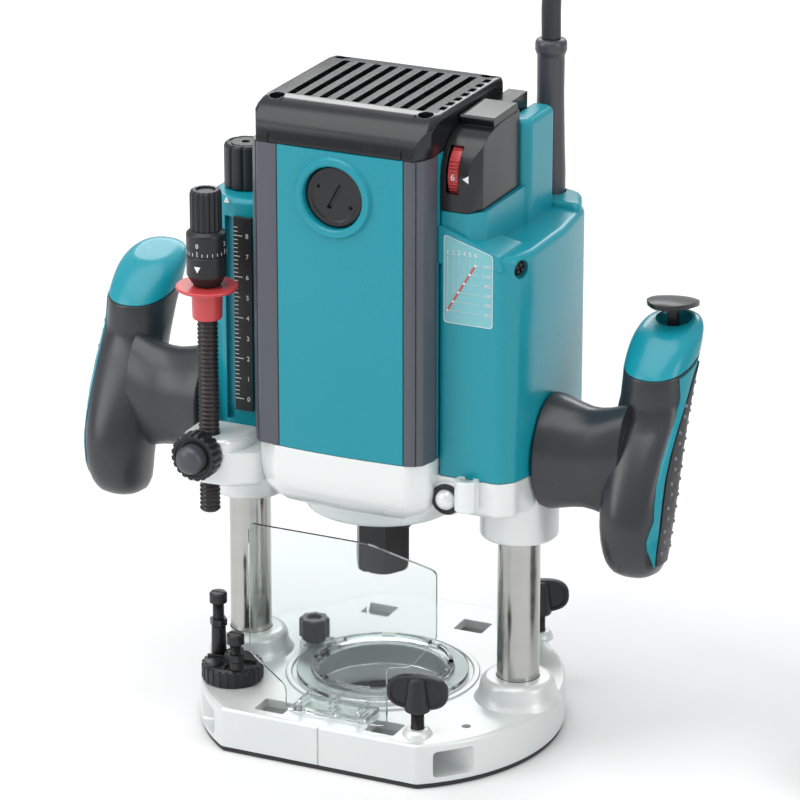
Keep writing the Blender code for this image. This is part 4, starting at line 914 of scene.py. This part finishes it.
cover_cuts += [block((x - 0.3, x + 0.3), (y - 0.9, y + 0.9), (COVER_LOW - 2, COVER_TOP - 4.0), 0)
               for x, y in SEAMS]
cover_shape = add(prism(RIGHT_COVER, COVER_LOW, COVER_TOP, 3.4, 0.4, 4, 3.0), *cover_parts)
show("switch_cover", cut(cover_shape, *cover_cuts), teal, "motor_unit",
     ("right_side_cover",))
screw_in_side = turned_over(turned_over(cross_screw(3.6, 2.2), 90, "X"), SCREW_TURN, "Z")
show("cover_screw", screw_in_side, blued_steel, "motor_unit", at=(78.2, -24.0, 243.4))

# Dial hood: a glossy black cap on the step, with a raised flat lid and a window for the wheel.
DIAL = (49.8, -17.5, 284.0)
HOOD_LOW = 268.4
hood_side = [(-33.0, HOOD_LOW), (-33.0, 284.0), (-32.2, 289.0), (-29.8, 294.0), (-26.0, 298.2),
             (-20.6, 301.6), (-13.0, 303.4), (-6.0, 304.2), (42.0, 305.0), (42.0, HOOD_LOW)]
hood = across_x(hood_side, 44.3, 62.0)
lid = across_x(rounded([(-12.5, 302.0), (-13.8, 306.8), (-12.6, 307.8), (12.8, 308.4), (13.6, 302.0)],
                       0.6, 3), 44.8, 61.6)
hood_edge = prism([(56.8, -34.0), (57.0, -33.4), (62.6, -25.0), (70.0, -25.0), (70.0, -44.0),
                   (56.8, -44.0)], 260.0, 320.0)
hood_cuts = [hood_edge, block((53.6, 70.0), (14.0, 60.0), (260.0, 320.0), 0),
             shifted(along_x(disc(15.6, -3.3, 3.3, 72)), *DIAL),
             block((DIAL[0] - 3.3, DIAL[0] + 3.3), (-40.0, -20.0), (276.6, 297.4), 0.5),
             shifted(along_x(disc(2.3, -4.6, 8.0, 32)), *DIAL)]
hood = cut(add(hood, lid), *hood_cuts)
show("speed_hood", hood, black_gloss, "motor_unit", ("dial_hood",))

red_plastic = finish("red_plastic", (0.62, 0.065, 0.070), (0.50, 0.040, 0.045), 0.32, 1700.0, 0.04,
                     30.0, 1.0, 0.08, 0.12, 0.0, 0.2, 0.25)
white_ink = finish("white_ink", (0.86, 0.87, 0.87), (0.78, 0.79, 0.79), 0.42, 2400.0, 0.01, 60.0,
                   1.0, 0.15, 0.10)
dial_parts = [turned_over(block((13.6, 15.1), (-0.5, 0.5), (-2.2, 2.2), 0.25), 6.0 * k, "Z")
              for k in range(60) if k % 7 not in (2, 3, 4)]
wheel = add(disc(14.4, -2.6, 2.6, 96, 0.4, 0.4), disc(2.0, -4.2, 7.5, 32), *dial_parts)
show("dial_wheel", along_x(wheel), red_plastic, "dial", ("speed_dial",), at=DIAL)


def lettering(text, size, thick=0.06, align="CENTER"):
    """Plain raised characters that read towards -Y, centred on their own height."""
    line = bpy.data.curves.new("spare", "FONT")
    line.body = text
    line.size = size
    line.extrude = thick
    line.align_x = align
    line.align_y = "CENTER"
    line.resolution_u = 4
    writing = bpy.data.objects.new("spare", line)
    bpy.context.collection.objects.link(writing)
    bpy.context.view_layer.update()
    made = bmesh.new()
    made.from_mesh(writing.evaluated_get(bpy.context.evaluated_depsgraph_get()).to_mesh())
    bpy.data.objects.remove(writing)
    bpy.data.curves.remove(line)
    return turned_over(made, 90, "X")


dial_digits = []
for digit in range(1, 7):
    mark = shifted(lettering(str(digit), 4.6, 0.12), 0, -14.5, 0)
    dial_digits.append(turned_over(mark, 42.0 * (6 - digit), "X"))
show("dial_digits", together(*dial_digits), white_ink, "dial", at=DIAL)
pointer_mark = facing([(55.0, 284.2), (58.0, 282.4), (58.0, 286.0)], -33.12, -32.9)
show("dial_mark", pointer_mark, white_ink, "motor_unit")

# ---------------------------------------------------------------- speed table
# A clear film on the cover's front with a thin white border. Lines drop from the dial's digits to
# a red slope of dots, and run across from each dot to its speed.
FILM_Y = -35.1
TABLE_X, TABLE_Z = 48.9, 222.4
COLUMN_STEP, ROW_STEP = 2.74, 4.56
FILM = [(47.0, 216.4), (71.2, 216.4), (71.2, 251.0), (47.0, 258.2)]
film_tint = finish("film_tint", (0.20, 0.50, 0.54), (0.15, 0.44, 0.49), 0.20, 2000.0, 0.01, 30.0,
                   1.0, 0.05, 0.08, 0.0, 0.3, 0.1)
film_edge = rounded(FILM, 2.0, 5)
show("speed_film", facing(film_edge, FILM_Y, -34.98), film_tint, "motor_unit")
middle_x, middle_z = 59.1, 235.6
inner = [(middle_x + (x - middle_x) * 0.975, middle_z + (z - middle_z) * 0.985) for x, z in film_edge]
border = cut(facing(film_edge, FILM_Y - 0.08, FILM_Y), facing(inner, FILM_Y - 1.0, FILM_Y + 1.0))


def ink_line(start, end, width):
    """A flat printed line between two (x, z) points on the film."""
    a, b = Vector(start), Vector(end)
    aside = (b - a).normalized().orthogonal() * width / 2
    corners = [a + aside, a - aside, b - aside, b + aside]
    return facing(corners, FILM_Y - 0.1, FILM_Y - 0.02)


ink = [border]
slope = []
for number in range(6):
    column = TABLE_X + COLUMN_STEP * number
    dot = (column, TABLE_Z + ROW_STEP * number)
    ink.append(shifted(lettering(str(number + 1), 3.1), column, FILM_Y - 0.06, 250.0))
    ink.append(ink_line((column, 248.0), dot, 0.16))
    ink.append(ink_line(dot, (64.4, dot[1]), 0.14))
    ink.append(shifted(along_y(disc(0.62, -0.1, 0.0, 24)), dot[0], FILM_Y - 0.12, dot[1]))
    ink.append(shifted(lettering(str(9 + 3 * number) + "00", 2.1, align="RIGHT"), 70.2,
                       FILM_Y - 0.06, dot[1] + 0.1))
for low in range(5):
    start = (TABLE_X + COLUMN_STEP * low, TABLE_Z + ROW_STEP * low)
    slope.append(ink_line(start, (start[0] + COLUMN_STEP, start[1] + ROW_STEP), 0.95))
show("speed_print", together(*ink), white_ink, "motor_unit")
show("speed_slope", together(*slope), red_plastic, "motor_unit")

# ---------------------------------------------------------------- post side cover
# Teal moulding over the left post, with the height knob on its top and a printed depth scale in
# a dark recess on its front.
left_shape = prism(LEFT_COVER, COVER_LOW, 255.0, 3.0, 0.4, 4, 3.0)
left_cuts = [block((-60.0, -40.0), (-11.0, 16.0), (145.0, 250.0), 0),
             shifted(disc(12.3, 138.0, 244.0, 64), -POST_X), shifted(disc(3.4, 240.0, 262.0, 32), -POST_X),
             block((-71.6, -67.2), (-26.0, -16.6), (146.0, 246.0), 0.4)]
show("post_cover", cut(left_shape, *left_cuts), teal, "motor_unit",
     ("left_side_cover",))
scale_plate = block((-66.0, -56.5), (-22.0, -20.3), (152.0, 247.0), 0.4)
show("scale_plate", scale_plate, black_nylon, "motor_unit", ("depth_scale",))
ticks = []
for step_number in range(43):
    length = 4.4 if step_number % 10 == 0 else 3.0 if step_number % 5 == 0 else 2.0
    z = 158.0 + 2.0 * step_number
    ticks.append(block((-65.6, -65.6 + length), (-22.1, -21.9), (z - 0.16, z + 0.16), 0))
    if step_number % 5 == 0:
        ticks.append(shifted(lettering(str(step_number // 5), 3.2), -58.8, -22.06, z))
show("scale_print", together(*ticks), white_ink, "motor_unit")
knob_ring = []
for i in range(180):
    turn = math.tau * i / 180
    reach = 10.2 - 0.8 * max(0.0, math.cos(10 * turn)) ** 4
    knob_ring.append((reach * math.cos(turn), reach * math.sin(turn)))
knob_shape = lofted([[(x * s, y * s, z) for x, y in knob_ring] for s, z in (
    (0.96, 255.3), (1.0, 255.8), (1.0, 274.6), (0.96, 275.8), (0.88, 276.5))])
knob_shape = add(knob_shape, disc(3.0, 244.0, 257.0, 32))
knob_cuts = [cut(disc(8.0, 276.0, 279.0, 64), disc(6.8, 270.0, 284.0, 64)), disc(2.0, 273.5, 280.0, 32)]
show("height_knob_body", cut(knob_shape, *knob_cuts), black_nylon, "height_knob",
     ("height_stop_knob",), at=(-POST_X, 0, 0))
arrow = facing([(-1.5, 258.6), (1.5, 258.6), (0, 261.6)], -20.4, -20.1)
show("height_mark", arrow, white_ink, "motor_unit", at=(-POST_X, 0, -6.0))

# Plunge lock: a black lever on a pivot behind the left cover, with a ribbed thumb end.
lever_shape = along_y(disc(8.0, 0.0, 9.0, 64, 1.0, 0.6))
blade = lofted([[(x, y, z) for y, z in rounded(((1.0, -w), (8.0, -w), (8.0, w), (1.0, w)), 1.6, 3)]
                for x, w in ((0.0, 6.4), (-10.0, 5.4), (-24.0, 4.5), (-36.0, 4.9), (-42.0, 5.4),
                             (-44.4, 4.4), (-45.0, 3.2))])
thumb_ribs = [block((x - 0.6, x + 0.6), (1.6, 7.4), (4.0, 5.9), 0.3) for x in (-41, -38, -35, -32)]
blade = turned_over(add(blade, *thumb_ribs), -28, "Y")
show("plunge_lever", add(lever_shape, blade, along_y(disc(4.0, -1.7, 1.0, 40))), black_nylon,
     "lock_lever", ("plunge_lock_lever",), at=(-68.0, 22.0, 130.0))

# Cord guard: a long tapered rubber boot clamped in the cover, with a bead at its mouth.
boot_rubber = finish("boot_rubber", (0.062, 0.064, 0.076), (0.045, 0.047, 0.056), 0.34, 2600.0, 0.03,
                     12.0, 1.0, 0.08, 0.10)
boot = turned([(0, 326.0), (5.3, 326.0), (6.8, 325.4), (7.4, 324.0), (7.4, 320.6), (6.4, 318.0),
               (6.3, 300.0), (6.9, 275.0), (7.4, 262.0), (7.4, 247.5), (5.5, 247.5), (5.5, 238.0),
               (0, 238.0)], 64, 0.5)
show("cord_boot", boot, boot_rubber, "motor_unit", ("cord_guard",),
     at=(*GUARD, 0))

# ---------------------------------------------------------------- depth stop
# A black threaded pole in the bracket's arm. A fluted knob with a scale turns its fine thread, a
# red collar points at the depth scale, and a knurled nut with a domed button holds it.
PITCH = 1.9
THREAD_LOW, THREAD_HIGH = 110.5, 219.6
NUT_PLACE = (POLE[0], 0, 141.0)
pole_profile = [(0.0, 109.5), (3.8, 109.5), (4.85, THREAD_LOW)]
level = THREAD_LOW + 0.6
while level < THREAD_HIGH:
    pole_profile += [(4.85, level), (4.30, level + 0.45 * PITCH), (4.30, level + 0.55 * PITCH),
                     (4.85, level + PITCH)]
    level += PITCH + 0.25
pole_profile += [(4.85, 220.5), (0.0, 220.5)]
pole_steel = finish("pole_steel", (0.050, 0.040, 0.042), (0.026, 0.022, 0.024), 0.34, 900.0, 0.03,
                    60.0, 1.0, 0.16, 0.14, 0.5)
show("threaded_pole", turned(pole_profile, 48), pole_steel, "pole", ("stopper_pole",),
     crease=20.0, at=(*POLE, 0))


def fluted(radius, depth, flutes, levels, sharp=2):
    """A fluted bar through (scale, z) levels."""
    ring = fluted_ring(radius, depth, flutes, sharp)
    return lofted([[(x * s, y * s, z) for x, y in ring] for s, z in levels])


stop_knob = add(
    fluted(7.4, 0.7, 16, ((0.9, 247.0), (1.0, 248.0), (1.0, 264.6), (0.95, 265.8), (0.84, 266.5))),
    turned([(0, 247.6), (7.2, 247.6), (9.0, 246.2), (9.3, 245.4), (9.3, 236.4), (8.8, 235.9),
            (8.8, 235.5), (9.3, 235.0), (9.3, 226.0), (6.4, 221.0), (0, 220.8)], 96, 0.3))
stop_knob = cut(stop_knob, disc(4.6, 265.7, 270.0, 48))
show("stop_knob", stop_knob, black_nylon, "pole_knob", ("depth_adjusting_knob",),
     at=(*POLE, 0))
knob_marks = []
for k in range(24):
    tall = 2.6 if k % 6 == 0 else 1.5
    knob_marks.append(turned_over(block((9.22, 9.42), (-0.14, 0.14), (236.6, 236.6 + tall), 0),
                                  15.0 * k - 90.0, "Z"))
    if k % 6 == 0:
        knob_marks.append(turned_over(shifted(lettering(str(k // 3), 3.0), 0, -9.34, 241.6),
                                      15.0 * k, "Z"))
knob_marks.append(facing([(-1.6, 231.8), (1.6, 231.8), (0, 228.8)], -9.42, -9.2))
show("stop_knob_print", together(*knob_marks), white_ink, "pole_knob",
     at=(*POLE, 0))
collar = turned([(14.2, 220.5), (14.6, 219.8), (14.2, 218.9), (7.6, 217.2), (7.2, 216.0), (6.9, 204.9),
                 (6.5, 204.5), (5.15, 204.5), (5.15, 220.5)], 96, 0.3)
show("pointer_collar", collar, red_plastic, "pointer", ("depth_pointer",),
     at=(*POLE, 0))
nut_body = fluted(11.5, 0.9, 20, ((0.94, -62.0), (1.0, -61.2), (1.0, -54.2), (0.96, -53.4)), 3)
nut_body = cut(nut_body, disc(7.3, -70.0, -55.2, 64), turned([(7.0, -62.8), (9.2, -62.8), (9.2, -61.3),
                                                            (7.0, -61.0)], 64))
show("knurled_nut", along_y(nut_body), black_nylon, "setting_nut",
     ("pole_setting_nut",), at=NUT_PLACE)
dome = turned([(0, -57.9), (6.9, -57.9), (6.9, -64.4), (6.5, -66.2), (5.4, -67.6), (3.4, -68.6),
               (1.4, -69.0), (0, -69.0)], 64, 0.3)
show("feed_dome", along_y(dome), boot_rubber, "feed_button",
     ("fast_feed_button",), at=NUT_PLACE)

# ---------------------------------------------------------------- handles
# Two hollow grips of soft dark elastomer over a hard core, on round necks bolted to the sides.
# Teal moulded caps close their tops, and the right one holds the trigger and its thumb lever.
GRIP_X = 131.0
THUMB_Y, THUMB_Z = 34.0, 208.0
GRIP_SECTIONS = ((97.0, -9.0, 4.5, 6.0, -8.0), (97.6, -9.2, 7.4, 9.6, -8.0),
                 (99.5, -9.5, 10.2, 13.4, -8.0), (102.0, -10.0, 11.6, 15.2, -7.0),
                 (105.0, -10.5, 12.8, 16.7, -6.0), (110.0, -11.4, 13.8, 17.8, -4.0),
                 (116.0, -12.0, 14.6, 18.5, -2.0), (124.0, -11.2, 15.4, 19.6, 2.0),
                 (134.0, -9.0, 16.0, 20.5, 8.0), (143.0, -6.2, 16.0, 21.1, 13.0),
                 (152.0, -3.0, 16.0, 21.5, 18.0), (160.0, 0.3, 16.0, 21.5, 22.0),
                 (168.0, 4.0, 16.0, 21.5, 26.0), (175.0, 7.9, 16.0, 21.3, 29.0),
                 (182.0, 12.0, 16.0, 21.0, 32.0), (186.0, 13.7, 16.0, 21.2, 26.0),
                 (190.0, 15.4, 16.0, 21.4, 20.0), (193.6, 16.8, 16.0, 21.5, 14.6),
                 (194.0, 17.0, 15.7, 21.2, 14.0))
TOP_SECTIONS = ((194.4, 17.2, 15.7, 21.2, 14.0), (194.8, 17.5, 16.0, 21.5, 14.0),
                (197.0, 18.9, 16.0, 21.3, 14.0), (199.5, 20.5, 15.9, 20.8, 14.0),
                (202.0, 22.2, 15.6, 20.0, 14.0), (204.0, 23.6, 15.1, 19.0, 14.0),
                (205.8, 24.9, 14.2, 17.4, 13.0), (207.0, 25.8, 12.8, 15.5, 12.0),
                (207.9, 26.2, 10.8, 13.0, 11.0), (208.3, 26.5, 8.2, 10.0, 10.0))
NECK_SECTIONS = ((84.2, 27.0, 22.0, -2.0), (84.8, 27.6, 22.6, -2.0), (88.0, 27.4, 22.3, -2.0),
                 (92.0, 26.5, 21.5, -2.0), (98.0, 25.0, 19.8, -2.4), (104.0, 24.0, 18.5, -3.0),
                 (109.0, 24.4, 17.6, -3.6), (114.0, 25.5, 17.0, -4.0), (119.0, 27.2, 16.0, -4.0),
                 (124.0, 29.0, 15.0, -4.0))
grip_rubber = finish("grip_rubber", (0.034, 0.037, 0.043), (0.022, 0.024, 0.029), 0.30, 2800.0,
                     0.05, 10.0, 1.0, 0.07, 0.14, 0.0, 0.0, 0.5, 0.5)
stud_rubber = finish("stud_rubber", (0.22, 0.23, 0.25), (0.14, 0.15, 0.17), 0.36, 2400.0, 0.03, 40.0,
                     1.0, 0.10, 0.12)
pad_rubber = finish("pad_rubber", (0.026, 0.028, 0.034), (0.018, 0.019, 0.023), 0.46, 900.0, 0.16,
                    18.0, 1.0, 0.14, 0.14)


def grip_point(side, section, shift, turn, out=0.0):
    """A point on the skin of a grip's section; turn 0 faces outwards and 270 to the front."""
    z, y, wide, deep, lean = section
    c, s = math.cos(math.radians(turn)), math.sin(math.radians(turn))
    across = (wide + out) * math.copysign(abs(c) ** 0.85, c)
    along = (deep + out) * math.copysign(abs(s) ** 0.85, s)
    tilt = math.radians(lean)
    return (side * (GRIP_X + across), y + shift + along * math.cos(tilt), z + along * math.sin(tilt))


def grip_skin(side, sections, shift):
    return lofted([[grip_point(side, section, shift, 360.0 * i / 48) for i in range(48)]
                   for section in sections])


def section_at(level):
    """The grip's section at a height, from the list."""
    for low, high in zip(GRIP_SECTIONS, GRIP_SECTIONS[1:]):
        if level <= high[0]:
            t = (level - low[0]) / (high[0] - low[0])
            return tuple(a + (b - a) * t for a, b in zip(low, high))
    return GRIP_SECTIONS[-1]


def skin_patch(side, shift, rows, thick=0.7):
    """A thin raised patch that follows the grip's skin over (height, first turn, last turn) rows."""
    columns = 10
    outer, inner = [], []
    for level, first, last in rows:
        section = section_at(level)
        spots = [first + (last - first) * k / columns for k in range(columns + 1)]
        outer.append([grip_point(side, section, shift, t, thick) for t in spots])
        inner.append([grip_point(side, section, shift, t, -0.6) for t in spots])
    return lofted([a + list(reversed(b)) for a, b in zip(outer, inner)])


for side, name, shift in ((-1, "left", -4.0), (1, "right", 4.0)):
    neck_rings = [[(side * x, y + shift + deep * c, 148.0 + high * s) for c, s in ring_of(1.0, 64)]
                  for x, high, deep, y in NECK_SECTIONS]
    grip = add(grip_skin(side, GRIP_SECTIONS, shift), lofted(neck_rings))
    grip_cuts = [shifted(disc(18.8, 95.0, 142.0, 72), side * POST_X)]
    if side > 0:
        grip_cuts.append(block((GRIP_X - 6.5, GRIP_X + 6.5), (14.0, 60.0), (140.0, 180.0), 0.5))
    show(name + "_grip", cut(grip, *grip_cuts), grip_rubber, "motor_unit",
         (name + "_handle",))
    cap = grip_skin(side, TOP_SECTIONS, shift)
    if side > 0:
        hollow = turned([(0, 225.0), (12.0, 225.0), (8.4, 208.6), (6.2, 205.4), (0, 205.0)], 48, 0.5)
        cap = cut(cap, shifted(hollow, GRIP_X, THUMB_Y),
                  shifted(disc(2.9, 200.0, 230.0, 32), GRIP_X, THUMB_Y))
    show(name + "_grip_cap", cap, teal, "motor_unit", (name + "_handle_cap",))
    outer_rows = [(105.0, -18.0, 26.0), (110.0, -21.0, 40.0), (118.0, -20.0, 46.0),
                  (128.0, -19.5, 48.0), (140.0, -22.0, 48.0), (152.0, -23.0, 48.0),
                  (164.0, -20.0, 46.0), (174.0, -14.0, 42.0), (182.0, -7.0, 36.0),
                  (188.0, 2.0, 26.0)]
    show(name + "_grip_pad", skin_patch(side, shift, outer_rows, 0.8), pad_rubber, "motor_unit")
    stripe_rows = [(105.0, -25.0, -22.0), (110.0, -33.0, -22.5), (116.0, -43.0, -22.5),
                   (121.0, -46.0, -22.0), (126.0, -42.0, -22.5), (131.0, -37.0, -24.0),
                   (140.0, -40.0, -25.5), (150.0, -42.0, -26.5), (160.0, -41.0, -25.0),
                   (170.0, -36.0, -20.0), (179.0, -30.0, -13.0), (186.0, -28.0, -5.0),
                   (193.2, -34.0, 8.0)]
    show(name + "_grip_stripe", skin_patch(side, shift, stripe_rows, 0.5), teal, "motor_unit")
    studs = []
    for row in range(13):
        level = 112.0 + 5.6 * row
        for turn in (-10.0, 6.0, 22.0, 38.0):
            spot = Vector(grip_point(side, section_at(level), shift, turn + 4.0 * (row % 2), 0.8))
            stud = turned([(0, 0.7), (0.6, 0.5), (0.95, 0), (0.95, -0.8), (0, -0.8)], 12)
            way = Vector((math.cos(math.radians(turn)) * side, math.sin(math.radians(turn)), 0.1))
            stud.transform(Matrix.Translation(spot) @ way.to_track_quat("Z", "Y").to_matrix().to_4x4())
            studs.append(stud)
    show(name + "_grip_studs", together(*studs), stud_rubber, "motor_unit")

# Trigger in the back of the right grip: a curved black finger plate with ribs.
trigger_side = [(18.2, 176.0), (18.2, 144.0), (24.0, 142.8), (31.0, 143.0), (34.6, 146.6), (36.8, 151.0),
                (38.6, 157.0), (39.0, 163.0), (38.6, 170.0), (37.4, 175.4), (36.0, 176.0)]
trigger_shape = across_x(trigger_side, GRIP_X - 5.8, GRIP_X + 5.8, 1.0)
trigger_grooves = [block((GRIP_X - 4.6, GRIP_X + 4.6), (37.9, 42.0), (z - 0.5, z + 0.5), 0.2)
                   for z in (154.0, 157.5, 161.0, 164.5, 168.0)]
show("trigger_plate", cut(trigger_shape, *trigger_grooves), black_nylon, "trigger_body",
     ("trigger",))

# Thumb lever on the right cap: a thin curved leaf on a square stem, pushed down to free the trigger.
leaf_rows = ((-16.4, 2.6, 10.4), (-15.2, 5.2, 10.9), (-12.0, 8.2, 11.3), (-8.0, 10.2, 11.1),
             (-2.0, 10.9, 10.3), (4.0, 10.6, 9.0), (9.0, 9.2, 7.5), (12.6, 7.0, 6.3), (15.0, 3.6, 5.5))
leaf_rings = []
for y, wide, high in leaf_rows:
    across = [wide * k / 6 for k in range(-6, 7)]
    top = [(x, y, high + 1.2 - 1.3 * (x / 11.0) ** 2) for x in across]
    under = [(x, y, high - 0.9 - 1.3 * (x / 11.0) ** 2) for x in reversed(across)]
    leaf_rings.append(top + under)
stem = block((-2.3, 2.3), (-2.3, 2.3), (-5.5, 10.0), 0.4)
leaf = lofted(leaf_rings)
show("thumb_leaf", add(leaf, stem), black_nylon, "thumb_lever",
     ("lock_off_lever",), at=(GRIP_X, THUMB_Y, THUMB_Z))

# ---------------------------------------------------------------- inside parts
# The working parts behind the covers keep their plain shapes: ground shaft and bearing rings,
# laminated iron with its windings, copper, carbon, bronze bushes, springs and the speed board.
laminated = finish("laminated_iron", (0.34, 0.34, 0.33), (0.20, 0.20, 0.20), 0.42, 500.0, 0.10, 900.0,
                   14.0, 0.10, 0.14, 0.8)
copper_bars = finish("copper_bars", (0.72, 0.35, 0.20), (0.52, 0.22, 0.12), 0.30, 700.0, 0.04, 300.0,
                     0.15, 0.06, 0.14, 1.0)
pressed_carbon = finish("pressed_carbon", (0.040, 0.040, 0.042), (0.022, 0.022, 0.024), 0.62, 2400.0,
                        0.08, 80.0, 1.0, 0.12, 0.10)
sintered_bronze = finish("sintered_bronze", (0.58, 0.40, 0.20), (0.44, 0.29, 0.13), 0.36, 2600.0,
                         0.05, 60.0, 1.0, 0.08, 0.14, 1.0)
spring_steel = finish("spring_steel", (0.46, 0.46, 0.45), (0.34, 0.34, 0.34), 0.28, 1200.0, 0.02,
                      120.0, 1.0, 0.06, 0.12, 1.0)
board_resin = finish("board_resin", (0.030, 0.032, 0.036), (0.020, 0.021, 0.024), 0.30, 500.0, 0.08,
                     40.0, 1.0, 0.10, 0.14)
INSIDE = {ground_steel: ("spindle_shaft", "lower_bearing", "upper_bearing"),
          laminated: ("rotor_core", "stator_core"), copper_bars: ("commutator",),
          pressed_carbon: ("carbon_front_brush", "carbon_rear_brush"),
          sintered_bronze: ("left_bush", "right_bush"), board_resin: ("speed_controller",),
          black_nylon: ("cooling_fan",)}
for material, names in INSIDE.items():
    for name in names:
        for holder in bpy.data.objects[name].material_slots:
            holder.material = material

# Plunge springs: round wire in long coils inside the posts, built here at one length.
# In the machine they shorten as it plunges.
SPRING_LOW, SPRING_HIGH = 40.6, 236.4
SPRING_TURNS, SPRING_RADIUS, WIRE_RADIUS = 14, 5.4, 0.9
for side, side_name in ((-1, "left"), (1, "right")):
    coil_line = []
    for i in range(SPRING_TURNS * 20 + 1):
        turn = math.tau * i / 20
        rise = SPRING_LOW + WIRE_RADIUS + (SPRING_HIGH - SPRING_LOW - 2 * WIRE_RADIUS) * i / (
            SPRING_TURNS * 20)
        coil_line.append((side * POST_X + SPRING_RADIUS * math.cos(turn),
                          SPRING_RADIUS * math.sin(turn), rise))
    spring = show(side_name + "_spring_coil", swept(coil_line, WIRE_RADIUS, 8), spring_steel, "base",
                  (side_name + "_plunge_spring",), crease=60.0)
    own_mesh(spring)
